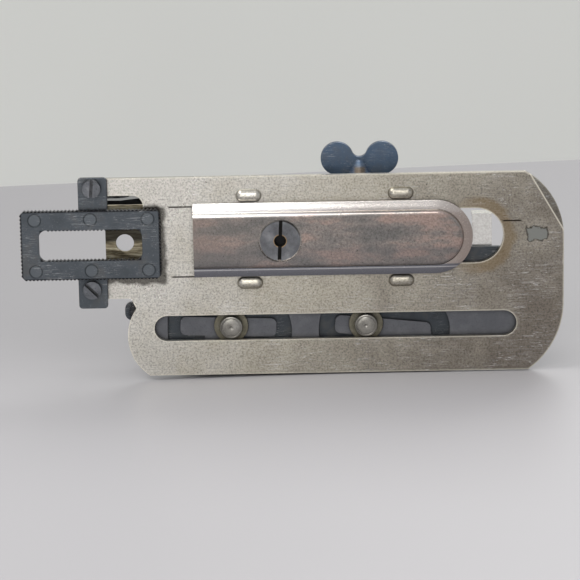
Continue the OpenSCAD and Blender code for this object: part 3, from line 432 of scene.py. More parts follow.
def shoe_tones_and_reflections(tree, place, last, base):
    """Tones across the shoe: a bright upper shoulder that fades to the right, a bluish lower flange with a
    rubbed rim, a pinkish right end, and a darker left half."""
    low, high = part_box("slide_shoe")
    middle = (low.z + high.z) / 2
    axis = add(tree, "SeparateXYZ", {"Vector": place})
    along, depth, height = axis.outputs
    # Painted dark reflection, darkest at the left end.
    dark_left_reflection = add(tree, "MapRange", {"Value": along, "From Min": low.x,
                                                 "From Max": low.x + 34 * MM, "To Min": 0.55, "To Max": 0.0})
    last = stain(tree, last, "#6F6B67", dark_left_reflection)
    # Painted dark reflection on the lower side of the raised middle.
    low_side_reflection = band(tree, height, low.z + 3.2 * MM, middle - 3.5 * MM, 2.5 * MM)
    last = stain(tree, last, "#6A686A", low_side_reflection, 0.35)
    step = band(tree, depth, high.y - 1.5 * MM, high.y + 1 * MM, 0.35 * MM)
    last = lay(tree, step, last, mix_rgb(base, linear("#A39C95"), 0.5))
    end = add(tree, "MapRange", {"Value": along, "From Min": high.x - 12 * MM,
                                           "From Max": high.x - 3 * MM, "To Min": 0.0, "To Max": 0.85})
    last = stain(tree, last, "#A6988F", step, end)
    under = band(tree, height, low.z - 1 * MM, low.z + 2.6 * MM, 0.5 * MM)
    last = stain(tree, last, "#6F7179", under, 0.9)
    # Painted highlight along the lower flange's rim.
    rim = band(tree, height, low.z + 1.9 * MM, low.z + 2.1 * MM, 0.12 * MM)
    last = stain(tree, last, "#D8D6D6", rim, 0.6)
    # Painted highlight on the upper shoulder, fading to the right.
    left = add(tree, "MapRange", {"Value": along, "From Min": low.x + 4 * MM,
                                            "From Max": low.x + 50 * MM, "To Min": 1.0, "To Max": 0.12})
    crown_highlight = band(tree, height, high.z - 3.0 * MM, high.z + 1 * MM, 1.1 * MM)
    return stain(tree, last, "#FBF8F4", crown_highlight, left)


def turned_steel(name, base, rough_low=0.28, rough_high=0.42, metal=0.95, cloudy=0.16, ring=None):
    """Machined metal: fine tool marks two hundredths of a millimetre deep and a faint film of old oil. ring
    names a screw whose head is drilled, with brass showing round the hole."""
    material, tree, surface, place = begin(name, Metallic=metal)
    film = add(tree, "TexNoise", {"Vector": place, "Scale": 1 / (4 * MM), "Detail": 4.0, "Roughness": 0.6})
    fine = add(tree, "TexNoise", {"Vector": place, "Scale": 1 / (0.4 * MM), "Detail": 2.0, "Roughness": 0.7})
    tone = add(tree, "ValToRGB", {"Fac": film},
               stops=[(0.34, mix_rgb(base, grey(0.0), cloudy)), (0.52, base),
                      (0.7, mix_rgb(base, grey(1.0), cloudy / 3))])
    spots = add(tree, "ValToRGB", {"Fac": fine}, stops=[(0.28, grey(0.7)), (0.45, grey(1.0))])
    last = lay(tree, 0.8, tone, spots, "MULTIPLY")
    if ring:
        middle = centre_of(ring)
        away = from_axis(tree, place, middle.x, middle.z)
        last = lay(tree, times(tree, band(tree, away, 1.3 * MM, 1.8 * MM, 0.2 * MM), 0.6), last,
                   tuple(colours().brass))
        # Painted shade: near black on all of the screw more than half a millimetre behind the head's face.
        depth = add(tree, "SeparateXYZ", {"Vector": place}).outputs["Y"]
        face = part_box(ring)[0].y
        last = stain(tree, last, "#1A1A1B", band(tree, depth, face + 0.5 * MM, face + 9 * MM, 0.15 * MM))
    # Painted shade in corners and recesses, also standing for dirt.
    last = corner_dirt_and_shade(tree, last, 1.6 * MM, 0.9)
    finish_surface(tree, surface, last, (fine, 0.3, 0.7, rough_low, rough_high), (fine, 0.22, 0.02))
    return material


def stained_steel(name, shadow_low_z, shadow_high_z):
    """Bare steel sole stained by oil: olive brown with level streaks, nearly black near its top."""
    material, tree, surface, place = begin(name, Metallic=0.85, Roughness=0.4)
    streak = add(tree, "Mapping", {"Vector": place, "Scale": (0.2, 1, 1.6)})
    film = add(tree, "TexNoise",
               {"Vector": streak, "Scale": 1 / (1.4 * MM), "Detail": 4.0, "Roughness": 0.65})
    tone = add(tree, "ValToRGB", {"Fac": film},
               stops=[(0.36, linear("#4A4335")), (0.5, linear("#8A8069")), (0.64, linear("#C0B9A2"))])
    height = add(tree, "SeparateXYZ", {"Vector": place}).outputs["Z"]
    # Painted shadow: near black across the band of heights passed in.
    dark = band(tree, height, shadow_low_z, shadow_high_z, 1.2 * MM)
    last = lay(tree, times(tree, dark, 0.9), tone, linear("#1C1A17"))
    # Painted shade in corners and recesses, also standing for dirt.
    last = corner_dirt_and_shade(tree, last, 2.5 * MM, 0.6)
    finish_surface(tree, surface, last, None, (film, 0.3, 0.05))
    return material


def stoved_enamel(name, base):
    """Black stoving enamel: deep gloss with a slight orange peel and small worn nicks."""
    material, tree, surface, place = begin(name, Metallic=0.0, IOR=1.52)
    surface.inputs["Coat Weight"].default_value = 0.6
    surface.inputs["Coat Roughness"].default_value = 0.08
    peel = add(tree, "TexNoise", {"Vector": place, "Scale": 1 / (1.6 * MM), "Detail": 2.0, "Roughness": 0.5})
    wear = add(tree, "TexNoise", {"Vector": place, "Scale": 1 / (6 * MM), "Detail": 8.0, "Roughness": 0.7})
    tone = add(tree, "ValToRGB", {"Fac": wear},
               stops=[(0.4, base), (0.62, mix_rgb(base, linear("#2C2C2E"), 0.6)), (0.74, linear("#5B5A57"))])
    finish_surface(tree, surface, tone, (wear, 0.35, 0.7, 0.16, 0.36), (peel, 0.25, 0.06))
    return material


def phenolic(name, base):
    """Moulded black phenolic: even satin with faint flow marks."""
    material, tree, surface, place = begin(name, Metallic=0.0, IOR=1.6)
    flow = add(tree, "TexNoise",
               {"Vector": place, "Scale": 1 / (2.5 * MM), "Detail": 4.0, "Distortion": 1.2})
    tone = add(tree, "ValToRGB", {"Fac": flow}, stops=[(0.35, base), (0.65, mix_rgb(base, grey(0.2), 0.16))])
    finish_surface(tree, surface, tone, (flow, 0.3, 0.7, 0.24, 0.38))
    return material


def painted_board(name, base, rough, dim):
    """Smooth laminate or painted wall of the stage: very slow variation, and a share dim lost from 70 mm in
    front of the object to 60 mm behind it, where less of the room's light falls."""
    material, tree, surface, place = begin(name, Metallic=0.0, Roughness=rough)
    slow = add(tree, "TexNoise", {"Vector": place, "Scale": 4.0, "Detail": 2.0})
    tone = add(tree, "ValToRGB", {"Fac": slow}, stops=[(0.3, mix_rgb(base, grey(0.0), 0.03)), (0.7, base)])
    depth = add(tree, "SeparateXYZ", {"Vector": place}).outputs["Y"]
    far = add(tree, "MapRange", {"Value": depth, "From Min": -70 * MM, "From Max": 60 * MM,
                                           "To Min": 0.0, "To Max": dim}, interpolation_type="SMOOTHSTEP")
    finish_surface(tree, surface, lay(tree, far, tone, grey(0.0)))
    return material


FINISHES = {}


def make_finishes():
    """Builds every finish once, from the colour settings."""
    c = colours()
    nickel = tuple(c.nickel)
    dull = tuple(c.nickel_dull)
    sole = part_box("foot_sole")
    middle = (sole[0].z + sole[1].z) / 2
    FINISHES.update({
        "plate": worn_nickel("worn_nickel_sheet", nickel, dull, stained=True),
        "nickel": worn_nickel("worn_nickel_parts", nickel, dull),
        "clamp": blued("blued_steel_clamp", tuple(c.oxide), tuple(c.oxide_worn), teeth="cloth_clamp"),
        "wing": blued("blued_steel_wing", mix_rgb(tuple(c.oxide), linear("#53779F"), 0.3),
                      tuple(c.oxide_worn), bare="wing_screw"),
        "blued": blued("blued_steel", tuple(c.oxide), tuple(c.oxide_worn)),
        "blued_dark": blued("blued_steel_dark", mix_rgb(tuple(c.oxide), grey(0.0), 0.3), tuple(c.oxide)),
        "shoe": polished_nickel("polished_nickel_shoe", tuple(c.bright), shoe=True),
        "bright": polished_nickel("polished_nickel", tuple(c.bright)),
        "steel": turned_steel("turned_steel", tuple(c.steel)),
        "stud": turned_steel("oiled_stud_steel", linear("#8F8C85"), 0.26, 0.4, 0.95, 0.25),
        "washer": turned_steel("old_oil_steel", linear("#6E6A5C"), 0.3, 0.45, 0.9, 0.3),
        "pivot": turned_steel("pivot_screw_steel", linear("#6A6B6E"), 0.28, 0.42, 0.9, 0.3, "pivot_screw"),
        "black": blued("blued_black", linear("#2A2B2F"), linear("#55575C")),
        "dark": turned_steel("oiled_steel", tuple(c.steel_dark), 0.26, 0.42, 0.9, 0.3),
        "grey": turned_steel("dull_grey_steel", tuple(c.plate_grey), 0.42, 0.55, 0.8, 0.08),
        # The sole's painted shadow band, from half a millimetre below its middle to 7 mm above it.
        "sole": stained_steel("oil_stained_steel", middle - 0.5 * MM, middle + 7 * MM),
        "satin": turned_steel("satin_nickel", linear("#C8C6BE"), 0.34, 0.5),
        "enamel": stoved_enamel("stoved_enamel", tuple(c.enamel)),
        "brass": turned_steel("turned_brass", tuple(c.brass), 0.22, 0.38),
        "phenolic": phenolic("moulded_phenolic", tuple(c.knob)),
    })


# ---- Meshes ----

def spawn(name, data):
    """New object in the scene that holds the given data."""
    made = bpy.data.objects.new(name, data)
    bpy.context.scene.collection.objects.link(made)
    return made


def piece(name, mesh, nodes, finish):
    """Names a mesh as a piece that stands for CAD nodes, rides on their body and takes their slot."""
    made = spawn(name, mesh)
    mesh.materials.clear()
    mesh.materials.append(FINISHES[finish])
    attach(made, NODE_BODY[nodes[0]])
    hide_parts(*nodes)
    return made


def settle(mesh, smooth=35):
    """Smooth shading broken at edges sharper than the given angle in degrees."""
    mesh.shade_smooth()
    mesh.set_sharp_from_angle(angle=math.radians(smooth))


def machined(node, finish, edge, rounds=2, crease=40, plane=None):
    """Copy of a CAD node with its loose triangles merged, its flats made whole and its edges rounded where
    they are sharper than the crease in degrees. A plane, as a point and a normal, cuts a chamfer."""
    mesh = frame["nodes"][node].data.copy()
    work = bmesh.new()
    work.from_mesh(mesh)
    bmesh.ops.remove_doubles(work, verts=work.verts, dist=0.002 * MM)
    bmesh.ops.dissolve_limit(work, angle_limit=math.radians(0.6), verts=work.verts, edges=work.edges)
    if plane:
        whole = work.verts[:] + work.edges[:] + work.faces[:]
        point, facing = plane
        cut = bmesh.ops.bisect_plane(work, geom=whole, plane_co=point, plane_no=facing, clear_outer=True)
        rim = [item for item in cut["geom_cut"] if isinstance(item, bmesh.types.BMEdge)]
        bmesh.ops.contextual_create(work, geom=rim)
        bmesh.ops.recalc_face_normals(work, faces=work.faces)
    work.to_mesh(mesh)
    work.free()
    settle(mesh, crease - 5)
    made = piece(node + "_finished", mesh, [node], finish)
    bevel = made.modifiers.new("edge_round", "BEVEL")
    bevel.width = edge
    bevel.segments = rounds
    bevel.limit_method = "ANGLE"
    bevel.angle_limit = math.radians(crease)
    level = made.modifiers.new("flat_faces", "WEIGHTED_NORMAL")
    level.keep_sharp = True
    return made


def surface_mesh(name, grids, caps=()):
    """Mesh of one or more grids of points, each (rows, columns, 3) with a flag for columns that close."""
    points, faces, start = [], [], 0
    for grid, closed in grids:
        rows, cols = grid.shape[:2]
        r = np.arange(rows - 1)[:, None]
        c = np.arange(cols if closed else cols - 1)[None, :]
        nxt = (c + 1) % cols
        quads = np.stack([r * cols + c, r * cols + nxt, (r + 1) * cols + nxt, (r + 1) * cols + c], axis=-1)
        faces += (quads.reshape(-1, 4) + start).tolist()
        points.append(grid.reshape(-1, 3))
        start += rows * cols
    mesh = bpy.data.meshes.new(name)
    mesh.from_pydata(np.concatenate(points), [], faces + [list(cap) for cap in caps])
    mesh.update()
    return mesh


def outward(mesh, merge=0.001 * MM):
    """Merges doubles and turns every face outwards."""
    work = bmesh.new()
    work.from_mesh(mesh)
    bmesh.ops.remove_doubles(work, verts=work.verts, dist=merge)
    bmesh.ops.recalc_face_normals(work, faces=work.faces)
    work.to_mesh(mesh)
    work.free()


def lathe_grid(profile, x, z, steps=72):
    """A profile of (radius, y) points turned once round the axis along Y through x and z."""
    turn = np.linspace(0, 2 * np.pi, steps, endpoint=False)
    radius, y = np.asarray(profile, float).T
    grid = np.empty((len(radius), steps, 3))
    grid[..., 0] = x + radius[:, None] * np.cos(turn)
    grid[..., 1] = y[:, None]
    grid[..., 2] = z + radius[:, None] * np.sin(turn)
    return grid


def quarter(radius, steps, start, end):
    """Points of a circular arc of the given radius, from angle start to angle end in degrees."""
    t = np.radians(np.linspace(start, end, steps))
    return np.stack([radius * np.cos(t), radius * np.sin(t)], axis=1)


def cut_with(made, shape):
    """Takes a closed mesh away from a piece, and makes that and the piece's modifiers permanent."""
    cutter = spawn("cutter", shape)
    step = made.modifiers.new("cut", "BOOLEAN")
    step.operation = "DIFFERENCE"
    step.solver = "EXACT"
    step.object = cutter
    graph = bpy.context.evaluated_depsgraph_get()
    graph.update()
    result = bpy.data.meshes.new_from_object(made.evaluated_get(graph))
    made.modifiers.clear()
    made.data = result
    bpy.data.objects.remove(cutter)


def drum(x, z, y0, y1, radius, steps=64):
    """Closed cylinder along Y."""
    grid = lathe_grid([(0, y0), (radius, y0), (radius, y1), (0, y1)], x, z, steps)
    mesh = surface_mesh("drum", [(grid, True)])
    outward(mesh)
    return mesh


def brick(low, high):
    """Closed box between two corners."""
    mesh = bpy.data.meshes.new("brick")
    work = bmesh.new()
    bmesh.ops.create_cube(work, size=1)
    span = Vector(high) - Vector(low)
    middle = (Vector(high) + Vector(low)) / 2
    place = Matrix.Translation(middle) @ Matrix.Diagonal((*span, 1))
    bmesh.ops.transform(work, matrix=place, verts=work.verts)
    work.to_mesh(mesh)
    work.free()
    return mesh


def centre_of(node):
    """Middle of a node's box."""
    low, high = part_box(node)
    return (low + high) / 2


def islands(node):
    """Box of each separate solid of a CAD node."""
    work = bmesh.new()
    work.from_mesh(frame["nodes"][node].data)
    bmesh.ops.remove_doubles(work, verts=work.verts, dist=0.002 * MM)
    left = set(work.verts)
    boxes = []
    while left:
        found, edge = set(), {left.pop()}
        while edge:
            found |= edge
            edge = {v for old in edge for link in old.link_edges for v in link.verts} - found
        left -= found
        spots = np.array([v.co for v in found])
        boxes.append((Vector(spots.min(axis=0)), Vector(spots.max(axis=0))))
    work.free()
    return boxes


class AttachmentOperator:
    """What every operator of this file shares."""
    bl_options = {"REGISTER", "UNDO"}


class ATTACHMENT_OT_finishes(AttachmentOperator, bpy.types.Operator):
    """Makes the finishes from the colour settings"""
    bl_idname = "attachment.finishes"
    bl_label = "Make finishes"

    def execute(self, context):
        make_finishes()
        return {"FINISHED"}


class ATTACHMENT_OT_base_plate(AttachmentOperator, bpy.types.Operator):
    """Base plate of worn nickel sheet with eased edges and one filed corner"""
    bl_idname = "attachment.base_plate"
    bl_label = "Base plate"

    def execute(self, context):
        machined("base_plate", "plate", sizes().sheet_edge, 3, 24, filed_corner())
        return {"FINISHED"}


class ATTACHMENT_OT_clamp(AttachmentOperator, bpy.types.Operator):
    """Toothed cloth clamp, its ears and their screws"""
    bl_idname = "attachment.clamp"
    bl_label = "Cloth clamp"

    def execute(self, context):
        machined("cloth_clamp", "clamp", 0.1 * MM, 1)
        machined("clamp_ears", "blued", sizes().small_edge)
        machined("clamp_screws", "dark", sizes().small_edge)
        return {"FINISHED"}


def shoe_surface(steps_round=48, steps_line=40):
    """Pressed shoe. Its outline runs along the lower edge, round the right end and back along the upper
    edge. Each section runs from the back of the flange, over the flange and the shoulder, to the middle
    line; a point is the middle line's nearest point plus the outline's normal times its distance."""
    low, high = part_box("slide_shoe")
    half = (high.z - low.z) / 2
    mid_z = (high.z + low.z) / 2
    back, front = high.y, low.y
    flange_y = back - 0.8 * MM
    step = 2.6 * MM
    turn_x = high.x - half
    shoulder = sizes().shoe_shoulder
    top = half - step
    rise = flange_y - front
    droop = 0.42 * MM
    lip = min(shoulder, rise - 0.15 * MM)
    roll = np.linspace(0, 1, 10)
    section = [(0.0, back), (half - 0.08 * MM, back), (half, back - 0.08 * MM)]
    section += [(half - (half - top) * t, flange_y + droop * (1 - t) ** 2) for t in roll]
    section += [(top - 0.05 * MM, flange_y - 0.15 * MM)]
    section += [(top - lip + p[0], front + lip - p[1]) for p in quarter(lip, 9, 8, 90)]
    section += [(top - lip - 0.8 * MM, front), ((top - lip) * 0.5, front), (0.0, front)]
    reach, y = np.asarray(section).T
    along = np.linspace(low.x, turn_x, steps_line)
    angle = np.linspace(-np.pi / 2, np.pi / 2, steps_round)
    spine_x = np.concatenate([along[:-1], np.full(steps_round, turn_x), along[::-1][1:]])
    normal_x = np.concatenate([np.zeros(steps_line - 1), np.cos(angle), np.zeros(steps_line - 1)])
    normal_z = np.concatenate([-np.ones(steps_line - 1), np.sin(angle), np.ones(steps_line - 1)])
    grid = np.empty((len(reach), len(spine_x), 3))
    grid[..., 0] = spine_x + reach[:, None] * normal_x
    grid[..., 1] = y[:, None]
    grid[..., 2] = mid_z + reach[:, None] * normal_z
    rows, cols = grid.shape[:2]
    end = [r * cols for r in range(rows)] + [r * cols + cols - 1 for r in range(rows - 2, 0, -1)]
    return surface_mesh("slide_shoe", [(grid, False)], [end])


class ATTACHMENT_OT_slide_shoe(AttachmentOperator, bpy.types.Operator):
    """Polished slide shoe with its pressed shoulder, and the pivot screw in its seat"""
    bl_idname = "attachment.slide_shoe"
    bl_label = "Slide shoe and pivot screw"

    def execute(self, context):
        mesh = shoe_surface()
        outward(mesh)
        shoe = piece("slide_shoe_pressed", mesh, ["slide_shoe"], "shoe")
        low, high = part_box("slide_shoe")
        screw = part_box("pivot_screw")
        axis = centre_of("pivot_screw")
        seat_r = (screw[1].x - screw[0].x) / 2 + 0.5 * MM
        seat_depth = 1.5 * MM
        bore_r = 3.5 * MM
        beyond = 1 * MM
        cut_with(shoe, drum(axis.x, axis.z, low.y - beyond, low.y + seat_depth, seat_r))
        cut_with(shoe, drum(axis.x, axis.z, low.y, high.y + beyond, bore_r))
        settle(shoe.data, 40)
        machined("pivot_screw", "pivot", 0.32 * MM, 3)
        return {"FINISHED"}


def stud_profile(low_y, neck_y, high_y, head_r, neck_r):
    """Section of a guide stud: punch mark, flat face with a turned ring, rolled edge, neck."""
    ring = 0.82 * head_r
    return [
        (0.0, low_y + 0.28 * MM), (0.30 * MM, low_y + 0.12 * MM), (0.5 * MM, low_y + 0.03 * MM),
        (0.58 * MM, low_y + 0.02 * MM), (ring - 0.3 * MM, low_y + 0.02 * MM),
        (ring - 0.24 * MM, low_y + 0.04 * MM), (ring - 0.08 * MM, low_y + 0.16 * MM),
        (ring + 0.08 * MM, low_y + 0.16 * MM), (ring + 0.2 * MM, low_y + 0.02 * MM),
        (head_r - 0.22 * MM, low_y + 0.06 * MM), (head_r - 0.06 * MM, low_y + 0.2 * MM),
        (head_r, low_y + 0.4 * MM), (head_r, neck_y - 0.1 * MM), (head_r - 0.1 * MM, neck_y),
        (neck_r, neck_y), (neck_r, high_y), (0.0, high_y)]


class ATTACHMENT_OT_guide_studs(AttachmentOperator, bpy.types.Operator):
    """Turned guide studs and the washers behind them"""
    bl_idname = "attachment.guide_studs"
    bl_label = "Guide studs"

    def execute(self, context):
        low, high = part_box("guide_studs")
        washer_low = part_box("stud_washers")[0]
        head_r = (high.z - low.z) / 2
        z = (high.z + low.z) / 2
        profile = stud_profile(low.y, washer_low.y, high.y, head_r, 1.7 * MM)
        grids = [(lathe_grid(profile, x, z), True) for x in (low.x + head_r, high.x - head_r)]
        mesh = surface_mesh("guide_studs", grids)
        outward(mesh)
        settle(mesh, 30)
        piece("guide_studs_turned", mesh, ["guide_studs"], "stud")
        machined("stud_washers", "washer", 0.08 * MM)
        return {"FINISHED"}


class ATTACHMENT_OT_wing_screw(AttachmentOperator, bpy.types.Operator):
    """Blued wing screw"""
    bl_idname = "attachment.wing_screw"
    bl_label = "Wing screw"

    def execute(self, context):
        machined("wing_screw", "wing", sizes().wing_edge, 4)
        return {"FINISHED"}


def cover_surface(corner_steps=10, rim_steps=10):
    """Pressed cover. Each row is a rectangle with round corners, drawn inwards from the row below along the
    wall and then along a quarter circle; the last rows close over the flat top."""
    low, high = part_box("cover")
    side = sizes().cover_side
    rim = sizes().cover_round
    insets = [(0.0, low.y), (0.0, (low.y + high.y) / 2), (0.0, high.y - rim)]
    insets += [(rim - rim * np.cos(t), high.y - rim + rim * np.sin(t))
               for t in np.linspace(0, np.pi / 2, rim_steps + 1)[1:]]
    insets += [(side * 0.92, high.y)]
    angles = np.linspace(0, np.pi / 2, corner_steps)
    rows = []
    for inset, y in insets:
        r = max(side - inset, 0.05 * MM)
        corners = [(high.x - side, high.z - side, 0), (low.x + side, high.z - side, 1),
                   (low.x + side, low.z + side, 2), (high.x - side, low.z + side, 3)]
        ring = [np.stack([cx + r * np.cos(angles + k * np.pi / 2), np.full(corner_steps, y),
                          cz + r * np.sin(angles + k * np.pi / 2)], axis=1) for cx, cz, k in corners]
        rows.append(np.concatenate(ring))
    grid = np.stack(rows)
    count = grid.shape[0] * grid.shape[1]
    lid = list(range(count - grid.shape[1], count))
    return surface_mesh("cover", [(grid, True)], [lid])


class ATTACHMENT_OT_cover(AttachmentOperator, bpy.types.Operator):
    """Black enamelled cover with its slots, holes and screws"""
    bl_idname = "attachment.cover"
    bl_label = "Cover"

    def execute(self, context):
        mesh = cover_surface()
        outward(mesh)
        settle(mesh, 40)
        cover = piece("cover_enamelled", mesh, ["cover"], "enamel")
        wall = cover.modifiers.new("wall", "SOLIDIFY")
        wall.thickness = 1.2 * MM
        wall.offset = -1
        low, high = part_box("cover")
        for low_corner, high_corner in self.slots(low, high):
            cut_with(cover, brick(low_corner, high_corner))
        beyond = high.y + 3 * MM
        for node, radius in (("wheel_spindle", 4.0), ("bight_shaft", 2.06), ("space_shaft", 2.06)):
            middle = centre_of(node)
            cut_with(cover, drum(middle.x, middle.z, high.y - 4 * MM, beyond, radius * MM))
        for low_corner, high_corner in islands("cover_screws"):
            middle = (low_corner + high_corner) / 2
            cut_with(cover, drum(middle.x, middle.z, high.y - 1.0 * MM, beyond, 2.7 * MM))
        settle(cover.data, 40)
        machined("cover_screws", "bright", sizes().small_edge)
        return {"FINISHED"}

    def slots(self, low, high):
        """Corners of the boxes that open the cover for the fork arm's leg, the length nut, the foot's sole
        and the stud plate."""
        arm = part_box("fork_arm")
        nut_y = centre_of("length_nut").y
        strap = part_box("foot_sole")
        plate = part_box("stud_plate")
        leg_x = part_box("pawl_pin")[0].x + 1.2 * MM
        left = low.x - 3 * MM
        under = low.y - 1 * MM
        return (
            ((leg_x - 11.5 * MM, high.y - 6 * MM, arm[0].z - 0.5 * MM),
             (leg_x + 3.5 * MM, high.y + 3 * MM, arm[1].z + 0.5 * MM)),
            ((-8 * MM, nut_y - 2.1 * MM, high.z - 3 * MM), (38 * MM, nut_y + 2.1 * MM, high.z + 3 * MM)),
            ((left, under, strap[0].z + 0.35 * MM),
             (low.x + 7 * MM, strap[1].y + 0.6 * MM, strap[1].z - 0.35 * MM)),
            ((left, under, plate[0].z - 0.2 * MM), (low.x + 4.5 * MM, plate[1].y, plate[1].z + 0.2 * MM)))


# Every other node, by group: a label, its words, and each part's finish with its round as a share of the
# small edge.
GROUPS = {
    "frame": ("Frame plates", "Frame plate, stud plate, slide block and rear bracket", {
        "frame_plate": ("grey", 0.8), "stud_plate": ("blued_dark", 0.8), "slide_block": ("grey", 1.0),
        "retainer_plate": ("blued_dark", 1.0), "rear_bracket": ("bright", 1.0),
        "bracket_screws": ("steel", 0.8), "pivot_washer": ("steel", 0.6), "pivot_nut": ("dark", 1.2)}),
    "links": ("Links and cranks", "Links in the windows, with their cranks and shafts", {
        "bight_link": ("grey", 0.5), "space_link": ("grey", 0.5), "bight_crank": ("blued_dark", 0.8),
        "space_crank": ("blued_dark", 0.8), "bight_shaft": ("steel", 1.0), "space_shaft": ("steel", 1.0)}),
    "levers": ("Levers and scales", "Bight and space levers with their blank scales", {
        "bight_lever": ("nickel", 1.0), "space_lever": ("nickel", 1.0), "bight_scale": ("satin", 0.4),
        "space_scale": ("satin", 0.4), "length_scale": ("satin", 0.3), "scale_pins": ("satin", 0.8)}),
    "wheel": ("Feed wheel", "Ratchet wheel, cam plate, spindle and knob", {
        "ratchet_wheel": ("grey", 0.4), "cam_plate": ("grey", 0.8), "wheel_spindle": ("steel", 1.4),
        "wheel_knob": ("phenolic", 1.1), "knob_screw": ("bright", 1.0), "wheel_bush": ("brass", 1.0)}),
    "pawls": ("Pawls", "Feed pawl and holding pawl with their pins and spring", {
        "pawl_post": ("steel", 1.0), "pawl_spring": ("blued", 0.4), "holding_pawl": ("grey", 1.0),
        "feed_pawl": ("grey", 1.0), "pawl_pin": ("steel", 1.0)}),
    # The fork arm's black enamel also stands in for the shade in the gap above the foot's sole.
    "fork": ("Fork arm", "Fork arm with its bracket and pin", {
        "fork_arm": ("enamel", 2.2), "fork_bracket": ("enamel", 1.4), "fork_pin": ("steel", 1.4)}),
    "follower": ("Follower", "Cam follower post and roller", {
        "follower_post": ("steel", 0.6), "follower_roller": ("steel", 0.8)}),
    "pointer": ("Length pointer", "Length pointer and its nut", {
        "length_pointer": ("nickel", 1.4), "length_nut": ("steel", 0.8)}),
    "foot": ("Foot", "Sole, shank and rivets of the foot", {
        "foot_sole": ("sole", 1.6), "foot_shank": ("nickel", 2.4), "shank_rivets": ("steel", 0.8)}),
    "adjuster": ("Adjusting nut", "Knurled adjusting nut and its stud", {
        "adjusting_nut": ("black", 0.8), "adjusting_stud": ("steel", 1.0)}),
}


def group_operator(key, label, words, parts):
    """Operator class that rounds and finishes every part of one group."""
    def execute(self, context):
        for node, (finish, share) in parts.items():
            machined(node, finish, sizes().small_edge * share)
        return {"FINISHED"}
    body = {"bl_idname": "attachment." + key, "bl_label": label, "__doc__": words, "execute": execute}
    return type("ATTACHMENT_OT_" + key, (AttachmentOperator, bpy.types.Operator), body)


GROUP_OPERATORS = [group_operator(key, *group) for key, group in GROUPS.items()]


def panel_mesh(name, corners):
    """One flat panel through four corners."""
    mesh = bpy.data.meshes.new(name)
    mesh.from_pydata(corners, [], [(0, 1, 2, 3)])
    return mesh


def table_mesh(side, far_left, far_right, steps=161):
    """Table top: a grid from near to far whose far edge runs from far_left to far_right. Its height is
    -0.4 mm less a shallow hollow under the plate's left end, deep * exp(-away^2 / (2 * wide^2))."""
    across = np.linspace(-1, 1, steps)
    x = side * across ** 3
    t = np.linspace(-1, 1, steps)[:, None] ** 3
    near = -1.6
    far = far_left + (far_right - far_left) * (x + side) / (2 * side)
    y = np.where(t < 0, -t * near, t * far)
    grid = np.empty((steps, steps, 3))
    grid[..., 0] = x
    grid[..., 1] = y
    hollow_x, hollow_wide, hollow_deep = -55 * MM, 30 * MM, 1.3 * MM
    away = (x - hollow_x) ** 2 + y ** 2
    grid[..., 2] = -0.4 * MM - hollow_deep * np.exp(-away / (2 * hollow_wide ** 2))
    mesh = surface_mesh("table", [(grid, False)])
    mesh.shade_smooth()
    return mesh


def soft_light(name, place, aim, size, power, tint):
    """Square softbox at a place, turned towards an aim."""
    data = bpy.data.lights.new(name, "AREA")
    data.size = size
    data.energy = power
    data.color = tint
    lamp = spawn(name, data)
    lamp.location = place
    lamp.rotation_euler = (Vector(aim) - Vector(place)).to_track_quat("-Z", "Y").to_euler()


# Softboxes: place and aim in metres, side in metres, power in watts, tint.
SOFTBOXES = {
    "key": ((-0.45, -0.2, 0.9), (0, 0, 0.02), 0.5, 4.0, (1.0, 0.98, 0.95)),
    "window": ((-0.16, -1.0, 0.16), (0, 0, 0.03), 0.24, 1.2, (1.0, 0.99, 0.97)),
    "front": ((-0.1, -0.75, 0.62), (0, 0, 0.03), 0.4, 2.4, (1.0, 0.99, 0.97)),
    "back": ((0.25, 0.6, 0.62), (0, 0, 0.03), 0.5, 3.0, (1, 1, 1)),
}


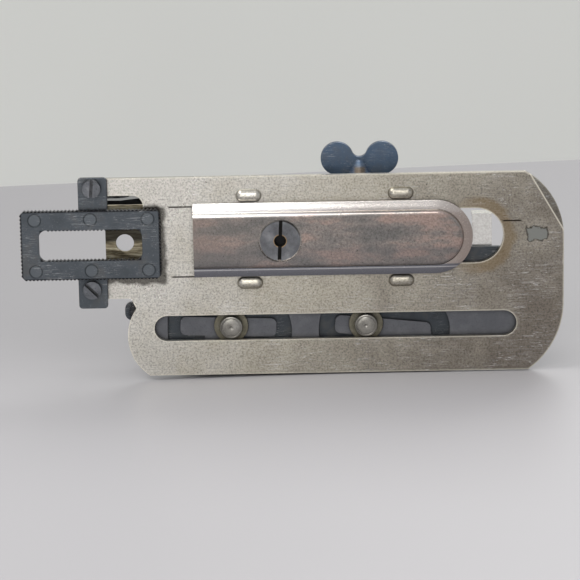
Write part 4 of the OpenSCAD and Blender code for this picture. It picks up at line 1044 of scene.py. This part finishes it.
class ATTACHMENT_OT_stage(AttachmentOperator, bpy.types.Operator):
    """Table, wall, soft light and camera"""
    bl_idname = "attachment.stage"
    bl_label = "Stage"

    def execute(self, context):
        c = colours()
        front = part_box("cloth_clamp")[0].y + 3.1 * MM
        side = 1.6
        far_left = 0.041
        far_right = 0.492
        table = spawn("table", table_mesh(side, far_left, far_right))
        wall = spawn("wall", panel_mesh("wall", [
            (-3, 1.5, -1.2), (3, 1.5, -1.2), (3, 1.5, 3), (-3, 1.5, 3)]))
        for obj, code, rough, dim in ((table, c.floor, 0.5, 0.24), (wall, c.wall, 0.8, 0.0)):
            obj.data.materials.append(painted_board(obj.name + "_board", tuple(code), rough, dim))
        world = bpy.data.worlds.new("studio")
        world.use_nodes = True
        sky = world.node_tree.nodes["Background"].inputs
        sky["Color"].default_value = (0.94, 0.96, 1.0, 1)
        sky["Strength"].default_value = 0.72
        context.scene.world = world
        context.scene.view_settings.view_transform = "Standard"
        for name, light in SOFTBOXES.items():
            soft_light(name, *light)
        self.camera(context, front)
        return {"FINISHED"}

    def camera(self, context, front):
        """Camera 900 mm away, looking down 14 degrees, with the slight roll of a hand-held view."""
        distance = 900 * MM
        down = math.radians(14)
        roll = math.radians(1.0)
        width = 164.7 * MM
        aim = Vector((-0.85 * MM, front, 24.5 * MM))
        back = Vector((0, -math.cos(down), math.sin(down)))
        data = bpy.data.cameras.new("camera")
        data.sensor_width = 36
        data.lens = data.sensor_width * distance / width
        camera = spawn("camera", data)
        turn = (-back).to_track_quat("-Z", "Y").to_matrix().to_4x4()
        stand = Matrix.Translation(aim + back * distance)
        camera.matrix_world = stand @ turn @ Matrix.Rotation(-roll, 4, "Z")
        context.scene.camera = camera


class ATTACHMENT_PT_panel(bpy.types.Panel):
    """Sidebar panel that lists the operators and the settings"""
    bl_idname = "ATTACHMENT_PT_panel"
    bl_label = "Buttonhole attachment"
    bl_space_type = "VIEW_3D"
    bl_region_type = "UI"
    bl_category = "Attachment"

    def draw(self, context):
        for kind in OPERATORS:
            self.layout.operator(kind.bl_idname)
        for group in (context.scene.attachment_sizes, context.scene.attachment_colours):
            box = self.layout.box()
            for key in group.bl_rna.properties.keys():
                if key not in ("rna_type", "name"):
                    box.prop(group, key)


OPERATORS = [
    ATTACHMENT_OT_stage, ATTACHMENT_OT_finishes, ATTACHMENT_OT_base_plate, ATTACHMENT_OT_clamp,
    ATTACHMENT_OT_slide_shoe, ATTACHMENT_OT_guide_studs, ATTACHMENT_OT_wing_screw, ATTACHMENT_OT_cover,
] + GROUP_OPERATORS
CLASSES = [AttachmentSizes, AttachmentColours] + OPERATORS + [ATTACHMENT_PT_panel]


def register():
    """Registers the classes and the settings."""
    for kind in CLASSES:
        bpy.utils.register_class(kind)
    bpy.types.Scene.attachment_sizes = bpy.props.PointerProperty(type=AttachmentSizes)
    bpy.types.Scene.attachment_colours = bpy.props.PointerProperty(type=AttachmentColours)


def unregister():
    """Removes the classes and the settings."""
    del bpy.types.Scene.attachment_sizes
    del bpy.types.Scene.attachment_colours
    for kind in reversed(CLASSES):
        bpy.utils.unregister_class(kind)


def main():
    """Builds every piece in order and writes the two boxes."""
    register()
    for kind in OPERATORS:
        group, name = kind.bl_idname.split(".")
        getattr(getattr(bpy.ops, group), name)()


if __name__ == "__main__":
    main()
